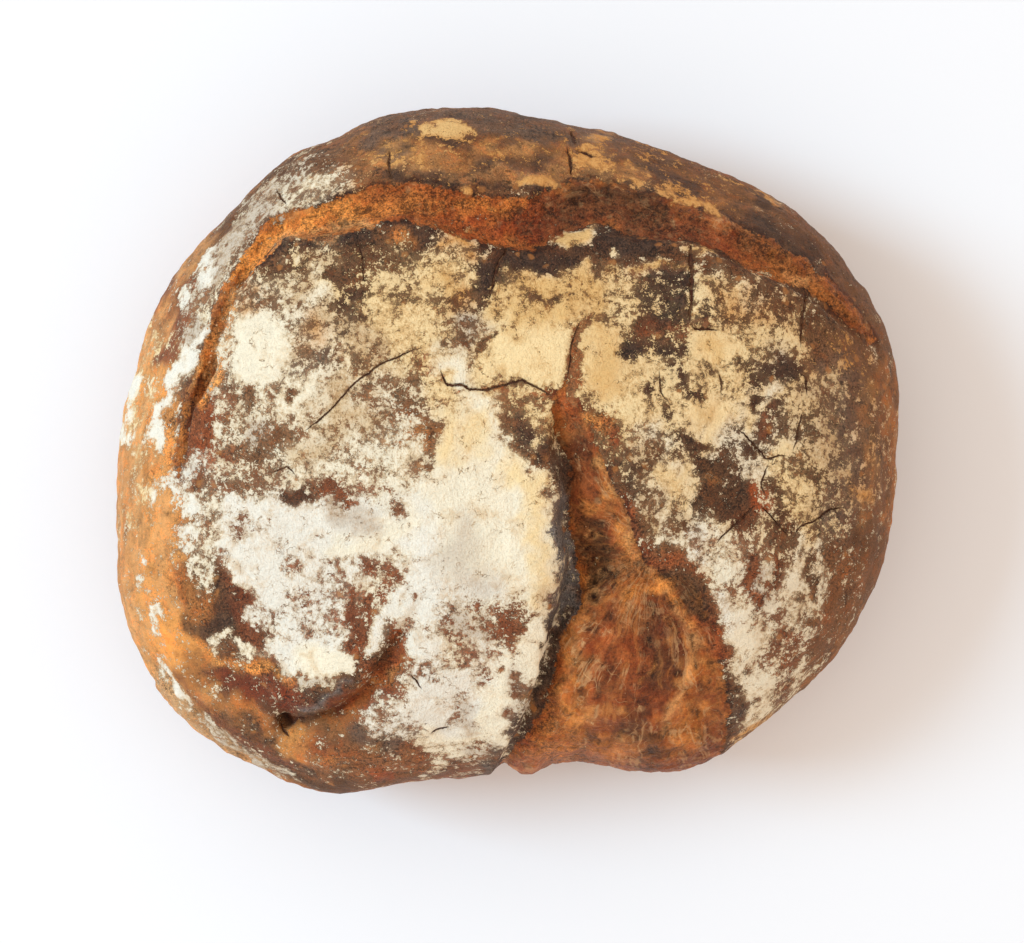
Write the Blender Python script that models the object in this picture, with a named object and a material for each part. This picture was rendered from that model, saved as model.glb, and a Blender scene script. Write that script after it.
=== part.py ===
"""No-knead bread: one free-standing, round rustic loaf as a single closed solid.

Metres, +Z up. The origin is at the middle of the flat base. +X runs along the loaf's
length and +Y points to its far side, where the crust burst in a long curved band.

The surface is a domed body of revolution stretched to the loaf's own outline. Its
burst band, its folds and its lips are then raised and sunk along the surface's normals.
Their lines are given in plan, in millimetres, as they appear from the eye point
straight above: every place is scaled to the level of the loaf's widest line. Past the
widest line the plan runs on outwards, down the side, by the distance along the side.
"""
import math

import bmesh
import bpy
import numpy as np

MM = 0.001

# Overall size
LENGTH = 230 * MM
WIDTH = 200 * MM
HEIGHT = 90 * MM
WIDEST_HEIGHT = 34 * MM
DOME_FULLNESS = 2.3
BASE_SHARE = 0.84
MEAN_RADIUS = 108 * MM

# The eye point that the plan is seen from
EYE_HEIGHT = 747 * MM
EYE_PLACE = np.array((1.3, -5.6)) * MM

# Plan of the widest line, counter-clockwise from the right: x, y
OUTLINE = (
    (115.5, 10), (113, 30), (104, 51), (87, 70), (70, 80.5), (50, 89), (33, 94.5),
    (8, 99), (-18, 100.5), (-38, 98.5), (-51, 92), (-63, 88), (-80, 74.5), (-97, 55),
    (-107, 37), (-113, 15), (-115.5, -10), (-114.5, -37), (-108, -59), (-93, -81),
    (-74, -94), (-52, -101), (-30, -98), (-8, -95), (6, -96), (15, -92.5), (27, -93),
    (44, -95.5), (57, -93), (68, -85), (86, -71.5), (100, -57), (110, -34), (114.5, -10),
)

# Burst band across the far shoulder: x, y, half its width, its depth
BAND = (
    (-97, -8, 0.6, 0.3), (-95, 10, 1, 1.5), (-90.5, 22, 2.6, 6.5), (-87, 34, 2, 3),
    (-81.5, 47.5, 2.4, 2), (-74, 58.5, 3.2, 1.8), (-66, 66.5, 4, 1.8), (-50, 69, 5.5, 1.8),
    (-30, 74, 6, 1.6), (-10, 69, 7, 1.8), (8, 68, 8, 2), (25, 74, 7, 2), (40, 70, 7.5, 2),
    (57, 66.5, 5, 1.8), (75, 58, 5.5, 2), (89, 51, 4, 1.8), (101, 41, 2.5, 1.2), (108, 32, 1.5, 0.6),
)
BAND_RIM_LIFT = 0.6 * MM
BAND_RIM_WIDTH = 2.6 * MM
CAP_STEP = 1.2 * MM
CAP_STEP_REACH = 16 * MM

# Lip of the middle fold, from its top end to the foot of the near side:
# x, y, depth under the lip, how far the hollow reaches from it
LIP = (
    (18, 20, 1, 4), (12, 12, 4, 8), (12, 0, 8, 12), (14, -10, 9, 14), (13, -20, 9.5, 16),
    (15, -33, 11, 17), (12.5, -45, 11, 10), (8, -62, 9, 9), (3, -78, 8, 8),
    (-4, -92, 4.5, 8), (-9, -106, 2.5, 8), (-12, -122, 1, 6),
)
# Far edge of the middle fold: x, y, depth of the step down from the crust beside it
FOLD_EDGE = (
    (18, 20, 1), (25, 8, 1.5), (30, -5, 2), (35, -15, 2.5), (42, -32, 2), (55, -38, 2),
    (62, -55, 1.5), (66, -78, 1.5), (63, -92, 1), (60, -106, 0.5), (57, -122, 0),
)
# Lip of the lower left flap, from the top of its channel round its tip to the hole:
# x, y, depth under the lip, how far the hollow reaches from it
FLAP_LIP = (
    (-26, -40, 0.5, 3), (-32, -49, 3, 5), (-38, -58, 5, 7), (-43, -66, 6.5, 9),
    (-50, -73, 7, 9), (-58, -77, 7, 7), (-66, -80, 6, 5), (-74, -83, 1, 3),
)
LIP_FACE = 4 * MM
FOLD_EDGE_FACE = 6 * MM
LIP_SWELL = 1.8 * MM
LIP_SWELL_REACH = 8 * MM

# Ridge at the head of the inner dough's lobe: x, y
RIDGE = ((43, -31), (36, -37), (29, -43), (20, -51))
RIDGE_HEIGHT = 2.2 * MM
RIDGE_WIDTH = 5 * MM

# Mounds, and hollows with a height below zero: x, y, reach, height
MOUNDS = (
    (38, -68, 24, 3), (25, -40, 8, -3.5), (-66, -80, 4.5, -4), (-90, 25, 4, -2.5),
    (-18, -78, 22, 1.4), (-56, -58, 15, 1.5), (-15, -12, 32, 1.5), (72, -30, 26, 1.5),
    (-60, 22, 24, 1.2), (30, 40, 30, 1), (-88, -72, 16, 1.5), (4, 82, 9, 1.2),
    (30, 88, 12, 0.8), (-60, 80, 14, 1),
)

# Slow swells of the whole crust: size, waves along x, y and z per metre, phase
SWELLS = (
    (1.6, (31, 12, 20), 0.4), (1.3, (-14, 36, 15), 2.1), (0.9, (52, -40, 30), 4.0),
    (0.8, (-66, 47, 22), 1.2), (0.6, (95, 70, -60), 3.3), (0.5, (-88, 102, 75), 5.1),
)
# How much of the swells is left at the widest line, and within what height of it they fade
SWELL_SHARE_AT_WIDEST = 0.15
SWELL_FADE = 24 * MM
# Shallow folds down the sides, where the dough crept against itself
SIDE_FOLDS = 9
SIDE_FOLD_DEPTH = 0.9 * MM

# Mesh
CELLS_ACROSS = 64
CELLS_HIGH = 36
FINE_REACH = 9 * MM
TRIANGLES = 8600
CURVE_STEPS = 6
MERIDIAN_POINTS = 400
CROWN_SHARE = 0.43
FOOT_SHARE = 0.70
LEVEL_WITHIN = 1e-6

CRUST_COLOUR = (0.36, 0.17, 0.065, 1)
CRUST_ROUGHNESS = 0.78


def ramp(value, low, high):
    """Smooth step from 0 at low to 1 at high."""
    share = np.clip((value - low) / (high - low), 0, 1)
    return share * share * (3 - 2 * share)


def hump(value, width):
    """Bell that is 1 where value is 0."""
    return np.exp(-((value / width) ** 2))


def curve_through(points, closed=False):
    """Catmull-Rom curve through rows of millimetres, with the extra columns carried along."""
    rows = np.array(points, float) * MM
    if closed:
        rows = np.vstack((rows[-1:], rows, rows[:2]))
    else:
        rows = np.vstack((2 * rows[0] - rows[1], rows, 2 * rows[-1] - rows[-2]))
    share = (np.arange(CURVE_STEPS) / CURVE_STEPS)[:, None]
    pieces = []
    for before, start, end, after in zip(rows[:-3], rows[1:-2], rows[2:-1], rows[3:]):
        bend = 2 * before - 5 * start + 4 * end - after
        twist = 3 * start - before - 3 * end + after
        pieces.append(start + 0.5 * share * ((end - before) + share * (bend + share * twist)))
    pieces.append(rows[-2:-1])
    return np.vstack(pieces)


def nearest(line, places):
    """For each place: signed distance (left of the line is +), share of length, carried columns."""
    steps = np.diff(line[:, :2], axis=0)
    lengths = np.hypot(steps[:, 0], steps[:, 1])
    run = np.append(0, np.cumsum(lengths))
    best = np.full(len(places), np.inf)
    side = np.ones(len(places))
    share = np.zeros(len(places))
    carried = np.zeros((len(places), line.shape[1] - 2))
    for index, step in enumerate(steps):
        offset = places - line[index, :2]
        part = np.clip(offset @ step / lengths[index] ** 2, 0, 1)
        gap = offset - part[:, None] * step
        distance = np.hypot(gap[:, 0], gap[:, 1])
        closer = distance < best
        best[closer] = distance[closer]
        turn = step[0] * offset[closer, 1] - step[1] * offset[closer, 0]
        side[closer] = np.where(turn < 0, -1.0, 1.0)
        share[closer] = (run[index] + part[closer] * lengths[index]) / run[-1]
        ends = line[index, 2:], line[index + 1, 2:]
        carried[closer] = ends[0] + part[closer, None] * (ends[1] - ends[0])
    return best * side, share, carried


def meridian():
    """Half section of the loaf from crown to foot: share of the radius, height, running length."""
    angle = np.linspace(0, math.pi / 2, MERIDIAN_POINTS)
    power = 2 / DOME_FULLNESS
    dome_out = np.sin(angle) ** power
    dome_up = WIDEST_HEIGHT + (HEIGHT - WIDEST_HEIGHT) * np.cos(angle) ** power
    side_out = BASE_SHARE + (1 - BASE_SHARE) * np.cos(angle)
    side_up = WIDEST_HEIGHT * (1 - np.sin(angle))
    out = np.concatenate((dome_out, side_out[1:], [0.0]))
    up = np.concatenate((dome_up, side_up[1:], [0.0]))
    run = np.append(0, np.cumsum(np.hypot(np.diff(out) * MEAN_RADIUS, np.diff(up))))
    return out, up, run


def outline_radius(turn):
    """Radius of the widest line in each direction."""
    line = curve_through(OUTLINE, closed=True)[:-1]
    angles = np.arctan2(line[:, 1], line[:, 0])
    order = np.argsort(angles)
    radii = np.hypot(line[:, 0], line[:, 1])
    return np.interp(turn, angles[order], radii[order], period=2 * math.pi)


def body_points(corners):
    """Put the corners of a divided cube on the loaf's plain body, with their plan places."""
    ways = np.tan(corners * math.pi / 4)
    ways /= np.linalg.norm(ways, axis=1)[:, None]
    fall = np.arccos(np.clip(ways[:, 2], -1, 1))
    turn = np.arctan2(ways[:, 1], ways[:, 0])
    out, up, run = meridian()
    stations = np.array((0, math.pi / 4, 3 * math.pi / 4, math.pi))
    reached = np.interp(fall, stations, np.array((0, CROWN_SHARE, FOOT_SHARE, 1)) * run[-1])
    radius = outline_radius(turn)
    around = np.stack((np.cos(turn), np.sin(turn)), axis=1)
    plan = around * (radius * np.interp(reached, run, out))[:, None]
    height = np.interp(reached, run, up)
    points = np.column_stack((plan, height))
    scale = (EYE_HEIGHT - WIDEST_HEIGHT) / (EYE_HEIGHT - height)
    seen = EYE_PLACE + (plan - EYE_PLACE) * scale[:, None]
    widest_run = run[MERIDIAN_POINTS - 1]
    beyond = around * (radius + reached - widest_run)[:, None]
    places = np.where((reached > widest_run)[:, None], beyond, seen)
    return points, places, turn


def band_relief(places):
    """The burst band: a shallow valley with raised rims, its cap side a little higher."""
    across, share, (half, depth) = unpack(nearest(curve_through(BAND), places))
    distance = np.abs(across)
    ends = ramp(share, 0, 0.04) * ramp(1 - share, 0, 0.04)
    valley = -depth * (1 - ramp(distance, 0.45 * half, half + 0.6 * MM))
    rims = BAND_RIM_LIFT * hump(distance - half - 1.2 * MM, BAND_RIM_WIDTH)
    cap = CAP_STEP * ramp(-across, 0, half) * (1 - ramp(-across, half, half + CAP_STEP_REACH))
    return ends * (valley + rims + cap)


def under_lip(places, lip):
    """A lip's own face and the hollow under it: how far inside, the depth, the swollen rim."""
    from_lip, _, (depth, reach) = unpack(nearest(curve_through(lip), places))
    inside = ramp(from_lip, 0, LIP_FACE)
    swell = LIP_SWELL * hump(from_lip + 0.6 * LIP_SWELL_REACH, LIP_SWELL_REACH)
    return inside, depth * hump(from_lip, reach), swell * ramp(depth, MM, 6 * MM)


def middle_fold_relief(places):
    """The middle fold: a steep lip over a hollow, and the lobe of inner dough beside it."""
    inside, sunk, swell = under_lip(places, LIP)
    from_edge, _, (step,) = unpack(nearest(curve_through(FOLD_EDGE), places))
    inside *= ramp(-from_edge, 0, FOLD_EDGE_FACE)
    ridge = RIDGE_HEIGHT * hump(nearest(curve_through(RIDGE), places)[0], RIDGE_WIDTH)
    return swell * (1 - inside) + inside * (ridge - np.maximum(sunk, step))


def lower_fold_relief(places):
    """The lower left fold: a tongue of crust that stands over a short curved channel."""
    inside, sunk, swell = under_lip(places, FLAP_LIP)
    return swell * (1 - inside) - inside * sunk


def mound_relief(places):
    """Rounded mounds and hollows."""
    total = np.zeros(len(places))
    for x, y, reach, height in MOUNDS:
        away = np.hypot(*(places - np.array((x, y)) * MM).T)
        total += height * MM * hump(away, reach * MM)
    return total


def unpack(found):
    """Split what nearest gives into distance, share and a tuple of carried columns."""
    distance, share, carried = found
    return distance, share, tuple(carried.T)


def swell_relief(points, turn):
    """Slow unevenness of hand-shaped dough, and the soft folds down its sides."""
    total = np.zeros(len(points))
    for size, waves, phase in SWELLS:
        total += size * MM * np.sin(points @ np.array(waves, float) + phase)
    clear = ramp(np.abs(points[:, 2] - WIDEST_HEIGHT), 2 * MM, SWELL_FADE)
    total *= SWELL_SHARE_AT_WIDEST + (1 - SWELL_SHARE_AT_WIDEST) * clear
    low = 1 - ramp(points[:, 2], WIDEST_HEIGHT, HEIGHT * 0.75)
    folds = np.abs(np.sin(0.5 * SIDE_FOLDS * turn + 1.3 * np.sin(2 * turn)))
    return total - SIDE_FOLD_DEPTH * low * (1 - folds) ** 2


def relief(points, places, turn):
    """How far each point stands out from the plain body. The base stays flat."""
    lifted = ramp(points[:, 2], 0.2 * MM, 14 * MM)
    tears = band_relief(places) + middle_fold_relief(places) + lower_fold_relief(places)
    return lifted * (tears + mound_relief(places) + swell_relief(points, turn))


def is_torn(places):
    """Where the crust is torn or folded, so that the mesh has to be finer."""
    torn = np.zeros(len(places), bool)
    for line in (BAND, LIP, FOLD_EDGE, FLAP_LIP):
        torn |= np.abs(nearest(curve_through(line), places)[0]) < FINE_REACH
    return torn


def divided_cube():
    """A cube from -1 to 1, divided evenly, and twice as finely where the crust is torn."""
    shape = bmesh.new()
    bmesh.ops.create_cube(shape, size=2)
    upright = [e for e in shape.edges if e.verts[0].co.z != e.verts[1].co.z]
    bmesh.ops.subdivide_edges(shape, edges=upright, cuts=CELLS_HIGH - 1, use_grid_fill=True)
    level = [e for e in shape.edges if abs(e.verts[0].co.z - e.verts[1].co.z) < LEVEL_WITHIN]
    bmesh.ops.subdivide_edges(shape, edges=level, cuts=CELLS_ACROSS - 1, use_grid_fill=True)
    shape.verts.index_update()
    corners = np.array([v.co for v in shape.verts])
    torn = is_torn(body_points(corners)[1])
    fine = [e for e in shape.edges if torn[e.verts[0].index] and torn[e.verts[1].index]]
    bmesh.ops.subdivide_edges(shape, edges=fine, cuts=1, use_grid_fill=True)
    mesh = bpy.data.meshes.new("loaf")
    shape.to_mesh(mesh)
    shape.free()
    return mesh


def read_rows(collection, name):
    """A mesh property of three numbers an item, as rows."""
    flat = np.empty(len(collection) * 3)
    collection.foreach_get(name, flat)
    return flat.reshape(-1, 3)


def shape_loaf(mesh):
    """Turn the divided cube into the loaf at its full size, stood on the origin."""
    points, places, turn = body_points(read_rows(mesh.vertices, "co"))
    mesh.vertices.foreach_set("co", points.ravel())
    mesh.update()
    points += read_rows(mesh.vertices, "normal") * relief(points, places, turn)[:, None]
    low = points.min(axis=0)
    high = points.max(axis=0)
    middle = np.array(((low[0] + high[0]) / 2, (low[1] + high[1]) / 2, low[2]))
    points = (points - middle) * np.array((LENGTH, WIDTH, HEIGHT)) / (high - low)
    mesh.vertices.foreach_set("co", points.ravel())
    mesh.update()


def crust_material():
    """Plain baked-crust brown."""
    material = bpy.data.materials.new("crust")
    material.use_nodes = True
    shader = material.node_tree.nodes["Principled BSDF"]
    shader.inputs["Base Color"].default_value = CRUST_COLOUR
    shader.inputs["Roughness"].default_value = CRUST_ROUGHNESS
    shader.inputs["Metallic"].default_value = 0
    return material


def clear_scene():
    """Remove every object that is there to begin with."""
    for old in list(bpy.data.objects):
        bpy.data.objects.remove(old, do_unlink=True)


def main():
    clear_scene()
    bread = bpy.data.collections.new("No-knead bread")
    bpy.context.scene.collection.children.link(bread)
    mesh = divided_cube()
    shape_loaf(mesh)
    mesh.materials.append(crust_material())
    mesh.shade_smooth()
    loaf = bpy.data.objects.new("loaf", mesh)
    bread.objects.link(loaf)
    facets = loaf.modifiers.new("Facets", "DECIMATE")
    facets.ratio = TRIANGLES / sum(len(face.vertices) - 2 for face in mesh.polygons)


main()
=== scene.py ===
"""No-knead bread: the look of one round rustic loaf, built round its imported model.

Metres, +Z up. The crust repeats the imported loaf's own shape on a finer mesh, then adds
blisters, wrinkles, cracks and torn dough, and is painted and floured by brush strokes
whose places are plan millimetres as seen from the eye point straight above.
"""

import math
from types import SimpleNamespace

import bmesh
import bpy
import numpy as np
from bpy.props import FloatProperty, FloatVectorProperty, PointerProperty
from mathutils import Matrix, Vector, noise


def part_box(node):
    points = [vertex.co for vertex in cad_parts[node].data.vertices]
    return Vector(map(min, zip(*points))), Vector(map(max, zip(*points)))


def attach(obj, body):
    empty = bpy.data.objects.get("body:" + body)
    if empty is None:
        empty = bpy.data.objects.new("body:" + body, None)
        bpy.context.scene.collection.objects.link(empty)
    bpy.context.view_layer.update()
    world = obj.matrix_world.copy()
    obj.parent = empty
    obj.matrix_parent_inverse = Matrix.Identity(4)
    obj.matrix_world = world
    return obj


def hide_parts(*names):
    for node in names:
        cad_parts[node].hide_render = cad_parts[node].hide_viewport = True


bl_info = {
    "name": "No-knead bread",
    "version": (1, 0, 0),
    "blender": (4, 5, 0),
    "location": "3D View > Sidebar > Bread",
    "description": "Builds a round, flour-dusted rustic loaf with a burst crust and a deep fold",
    "category": "Add Mesh",
}

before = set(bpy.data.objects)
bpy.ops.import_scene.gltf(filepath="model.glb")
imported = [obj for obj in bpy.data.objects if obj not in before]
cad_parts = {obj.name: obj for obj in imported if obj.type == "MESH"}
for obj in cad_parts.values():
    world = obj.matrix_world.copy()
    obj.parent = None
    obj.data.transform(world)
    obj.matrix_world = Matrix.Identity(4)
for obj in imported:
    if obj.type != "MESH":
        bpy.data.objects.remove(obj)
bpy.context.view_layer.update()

MM = 0.001

# Overall size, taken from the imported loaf
LOAF_LOW, LOAF_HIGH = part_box("loaf")
LENGTH = LOAF_HIGH[0] - LOAF_LOW[0]
WIDTH = LOAF_HIGH[1] - LOAF_LOW[1]
HEIGHT = LOAF_HIGH[2] - LOAF_LOW[2]
WIDEST_HEIGHT = 34 * MM
DOME_FULLNESS = 2.3
BASE_SHARE = 0.84
MEAN_RADIUS = 108 * MM

# The eye point that the plan is seen from
EYE_HEIGHT = 747 * MM
EYE_PLACE = np.array((1.3, -5.6)) * MM

# Plan of the widest line, counter-clockwise from the right: x, y
OUTLINE = (
    (115.5, 10), (113, 30), (104, 51), (87, 70), (70, 80.5), (50, 89), (33, 94.5),
    (8, 99), (-18, 100.5), (-38, 98.5), (-51, 92), (-63, 88), (-80, 74.5), (-97, 55),
    (-107, 37), (-113, 15), (-115.5, -10), (-114.5, -37), (-108, -59), (-93, -81),
    (-74, -94), (-52, -101), (-30, -98), (-8, -95), (6, -96), (15, -92.5), (27, -93),
    (44, -95.5), (57, -93), (68, -85), (86, -71.5), (100, -57), (110, -34), (114.5, -10),
)

# Burst band across the far shoulder: x, y, half its width, its depth
BAND = (
    (-97, -8, 0.6, 0.3), (-95, 10, 1, 1.5), (-90.5, 22, 2.2, 4.5), (-87, 34, 2, 3),
    (-81.5, 47.5, 2.4, 2), (-74, 58.5, 3.2, 1.8), (-66, 66.5, 4, 1.8), (-50, 69, 5.5, 1.8),
    (-30, 74, 6, 1.6), (-10, 69, 7, 1.8), (8, 68, 8, 2), (25, 74, 7, 2), (40, 70, 7.5, 2),
    (57, 66.5, 5, 1.8), (75, 58, 5.5, 2), (89, 51, 4, 1.8), (101, 41, 2.5, 1.2), (108, 32, 1.5, 0.6),
)
BAND_LENGTH = 290 * MM
BAND_END_SHARE = 0.04
BAND_FLOOR_SHARE = 0.45
BAND_EDGE = 0.6 * MM
BAND_RIM_LIFT = 0.6 * MM
BAND_RIM_PLACE = 1.2 * MM
BAND_RIM_WIDTH = 2.6 * MM
CAP_STEP = 1.2 * MM
CAP_STEP_REACH = 16 * MM

# Lip of the middle fold, from its top end to the foot of the near side:
# x, y, depth under the lip, how far the hollow reaches from it
LIP = (
    (18, 20, 1, 4), (12, 12, 4, 8), (12, 0, 8, 12), (14, -10, 9, 14), (13, -20, 9.5, 16),
    (15, -33, 11, 17), (12.5, -45, 11, 10), (8, -62, 9, 9), (3, -78, 8, 8),
    (-4, -92, 4.5, 8), (-9, -106, 2.5, 8), (-12, -122, 1, 6),
)
# Far edge of the middle fold: x, y, depth of the step down from the crust beside it
FOLD_EDGE = (
    (18, 20, 1), (25, 8, 1.5), (30, -5, 2), (35, -15, 2.5), (42, -32, 2), (55, -38, 2),
    (62, -55, 1.5), (66, -78, 1.5), (63, -92, 1), (60, -106, 0.5), (57, -122, 0),
)
# Foot of the lip's charred face, where the inner dough starts: x, y
LIP_FOOT = (
    (18, 22), (14, 16), (13.5, 6), (17, -1), (18.5, -10), (18, -20), (20.5, -30), (21.5, -40),
    (20, -47), (17, -52), (15, -58), (13.5, -65), (12, -72), (8, -80), (2, -87), (-3, -95),
    (-8, -108), (-12, -122),
)
# Lip of the lower left flap, from the top of its channel round its tip to the hole:
# x, y, depth under the lip, how far the hollow reaches from it
FLAP_LIP = (
    (-26, -40, 0.5, 3), (-32, -49, 3, 5), (-38, -58, 5, 7), (-43, -66, 6.5, 9),
    (-50, -73, 7, 9), (-58, -77, 7, 7), (-66, -80, 6, 5), (-74, -83, 1, 3),
)
LIP_FACE = 4 * MM
FOLD_EDGE_FACE = 6 * MM
LIP_SWELL = 1.8 * MM
LIP_SWELL_REACH = 8 * MM

# Ridge at the head of the inner dough's lobe: x, y
RIDGE = ((43, -31), (36, -37), (29, -43), (20, -51))
RIDGE_HEIGHT = 2.2 * MM
RIDGE_WIDTH = 5 * MM
# The point that the lobe's fibres fan out from
LOBE_HEAD = np.array((42, -28)) * MM

# Mounds, and hollows with a height below zero: x, y, reach, height
MOUNDS = (
    (38, -68, 24, 3), (25, -40, 8, -3.5), (-66, -80, 4.5, -4), (-90, 25, 4, -1.5),
    (-18, -78, 22, 1.4), (-56, -58, 15, 1.5), (-15, -12, 32, 1.5), (72, -30, 26, 1.5),
    (-60, 22, 24, 1.2), (30, 40, 30, 1), (-88, -72, 16, 1.5), (4, 82, 9, 1.2),
    (30, 88, 12, 0.8), (-60, 80, 14, 1),
)

# Slow swells of the whole crust: size, waves along x, y and z per metre, phase
SWELLS = (
    (1.6, (31, 12, 20), 0.4), (1.3, (-14, 36, 15), 2.1), (0.9, (52, -40, 30), 4.0),
    (0.8, (-66, 47, 22), 1.2), (0.6, (95, 70, -60), 3.3), (0.5, (-88, 102, 75), 5.1),
)
# How much of the swells is left at the widest line, and within what height of it they fade
SWELL_SHARE_AT_WIDEST = 0.15
SWELL_FADE = 24 * MM
# Shallow folds down the sides, where the dough crept against itself
SIDE_FOLDS = 9
SIDE_FOLD_DEPTH = 0.9 * MM
SIDE_FOLD_TOP = 0.75
SIDE_FOLD_WANDER = 1.3
# How far above the base the surface stays plain, and within what height the relief comes in
PLAIN_FOOT = 0.2 * MM
RELIEF_FROM_FOOT = 14 * MM
FINE_RELIEF_FROM_FOOT = 6 * MM

# How finely the crust's mesh is divided, and how its rows lie along the meridian
CELLS_ACROSS = 52
CELLS_HIGH = 16
CURVE_STEPS = 6
MERIDIAN_POINTS = 400
CROWN_SHARE = 0.43
FOOT_SHARE = 0.70
LEVEL_WITHIN = 1e-6
FINENESS_LEVELS = 3
FINE_ABOVE = 20 * MM
FINEST_BY_TEAR = 1.6 * MM
FINEST_BY_CRACK = 0.8 * MM
# How near to each lip's face the finest mesh reaches, as a share of the face's width
FINEST_BY_LIP = 0.9
FINEST_BY_FLAP = 0.8

# Cracks: width, then x, y
CRACKS = (
    (1.15, ((54, 62.5), (54.3, 50), (54, 37))),
    (0.7, ((54, 38.5), (55, 36.5), (63, 36))),
    (0.75, ((88, 48), (87, 38), (86, 30))),
    (0.8, ((-34.5, 89.5), (-35, 86), (-34, 80))),
    (0.9, ((17.5, 91), (18.6, 87), (19, 81))),
    (0.8, ((18.5, 95), (20, 91))),
    (0.6, ((20, 89.5), (26, 87))),
    (0.8, ((0.5, 62), (-3, 54), (-5, 47), (-5.5, 44))),
    (0.55, ((-26, 31), (-33, 28), (-40, 24.5), (-45, 20.5), (-50, 15), (-55, 10), (-60, 6))),
    (0.7, ((-20, 25), (-18, 20), (-13, 20), (-11, 18.5), (-6, 18.5), (0, 20), (4, 21.5), (9, 19),
     (14, 16))),
    (0.5, ((-44, 64), (-42.5, 54), (-42, 49))),
    (0.6, ((-68, 78), (-67, 75), (-65, 73))),
    (0.4, ((22, 40), (19.5, 34), (18.5, 28), (17, 20))),
    (0.5, ((45, 25), (45, 18), (47, 15))),
    (0.5, ((62, 25), (63, 20), (63, 16))),
    (0.5, ((87, 13), (85, 3), (84, 0))),
    (0.5, ((85, 24), (88, 22), (88, 16))),
    (0.6, ((67, 8), (70, 5), (75, 0), (76, -2), (80, -1), (83, -1))),
    (0.6, ((77, -3), (75, -9), (76, -14))),
    (0.6, ((74, -15), (70, -19), (66, -22), (61, -27))),
    (0.6, ((74, -15), (78, -19), (83, -25))),
    (0.6, ((100, -16), (95, -17), (91, -20), (86, -22), (84, -26))),
    (0.5, ((-70, -6), (-65, -4), (-62, -7))),
    (0.6, ((-29, -65), (-27, -67.5), (-25, -70))),
    (0.6, ((-23, -83), (-20, -81.5), (-17, -81))),
    (0.8, ((-66.5, -80), (-66, -82), (-64.5, -83.5))),
)

# A crack's half width as a share of its width above, what is left of that at its ends, how far
# from an end it is full, and how many half widths out its groove reaches
CRACK_HALF = 0.62
CRACK_END_SHARE = 0.3
CRACK_TAPER = 7 * MM
CRACK_GROOVE = 1.8
# Where a crack's mark fades out beside it, and what stands for a place far from every crack
CRACK_FADE = (1.5 * MM, 2.5 * MM)
FAR_FROM_CRACKS = 9.0

# Valley along the foot of the dough squeezed out at the near left: x, y
FOOT = ((-106, -54), (-102, -64), (-96, -73), (-87, -82), (-76, -90), (-64, -95), (-54, -97))

# The valley's width, where its ends fade out, and the uneven heap of dough outside it
FOOT_VALLEY_WIDTH = 2.6 * MM
FOOT_END_SHARE = 0.12
FOOT_HEAP_PLACE = 5 * MM
FOOT_HEAP_WIDTH = 4.5 * MM
FOOT_HEAP_SHARE = 0.6
FOOT_HEAP_LUMPS = 6 * MM

# Small holes in the inner dough: x, y, radius, depth
DOUGH_HOLES = (
    (24.5, -24.5, 0.9, 0.8), (25, -32, 0.8, 0.9), (25, -38, 1.1, 1.4), (25.5, -42.5, 1.2, 1.5),
    (22.5, -29, 0.5, 0.5), (28, -35, 0.6, 0.5), (21.5, -16, 0.5, 0.5),
)
# The pale rim of each, with its place and width in radii, and where the painted shade inside it ends
HOLE_RIM_STRENGTH = 0.6
HOLE_RIM_PLACE = 1.5
HOLE_RIM_WIDTH = 0.5
HOLE_EDGE = (0.7, 1.3)
# The hole under the flap and two pinholes in the crust at its left: x, y, radius, depth
CRUST_HOLES = ((-65.5, -79, 2.0, 2.5), (-86.5, -66.5, 0.5, 0.4), (-88.5, -69, 0.6, 0.4))

# Blisters and knobs that stand out: x, y, radius, height
BLISTERS = (
    (-12, 77, 2.0, 1.2), (-31, 63, 3.2, 0.6), (-88, -71, 3.4, 0.9), (-87.5, -36.5, 1.8, 0.5),
    (-80, -74, 3.0, 0.6), (8, 79, 3.4, 0.8), (41.5, -63, 1.5, 0.5), (49.5, -63, 1.6, 0.5),
    (51, -67, 1.6, 0.5), (56.5, -62, 1.6, 0.5), (39, -66.5, 1.4, 0.4), (33, -75, 2.2, 0.5),
    (37, -65, 1.3, 0.4), (57, -84.5, 2.4, 0.6), (22, -74, 3.0, 0.4), (26, -66, 2.6, 0.4),
    (47, -54, 2.2, 0.5), (-67, -71.5, 1.6, 0.5), (-58, -71.5, 1.3, 0.4), (-80.5, -53, 1.4, 0.4),
    (43, -35, 1.6, 0.4), (-40, -86, 1.8, 0.4), (33, -84, 2.0, 0.5), (25, 63, 2.2, 0.5),
)
# Small blisters scattered over the lobe, between two corners, and over the rim, within two radii
LOBE_BLISTERS = 70
LOBE_CORNERS = ((14, -92), (62, -48))
CRUST_BLISTERS = 130
RIM_RADII = (80, 112)
RIM_FLATTENING = 0.88
BLISTER_SEED = 5

# Sizes of the broad and the small lumps, and the pits in the torn dough
BROAD_LUMPS = 9 * MM
SMALL_LUMPS = 3.2 * MM
TORN_PITS = 4 * MM
TORN_PIT_DEPTH = 0.6 * MM
# Where torn dough takes over from crust, and how much of the fibres' height the crust has
TORN_EDGE = (-0.6 * MM, 0.8 * MM)
CRUST_FIBRE_SHARE = 0.35
# Between which amounts flour grows to its full thickness
THICK_FLOUR = (0.45, 0.9)
# Length and width of the fibres in the band, in the lobe and round the sides
BAND_FIBRE = (5 * MM, 1.5 * MM)
LOBE_FIBRE = (8 * MM, 1.5 * MM)
SIDE_FIBRE = (10 * MM, 1.7 * MM)
# Where on the fan of the lobe's fibres their width holds, and how far the band's fibres reach
LOBE_RADIUS = 34 * MM
BAND_REACH = 12 * MM

# How far noise pushes the strokes about, slowly and quickly, in millimetres
SLOW_SHIFT = 4.0
QUICK_SHIFT = 3.8
SLOW_LUMPS = 14 * MM
QUICK_LUMPS = 5 * MM
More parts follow.
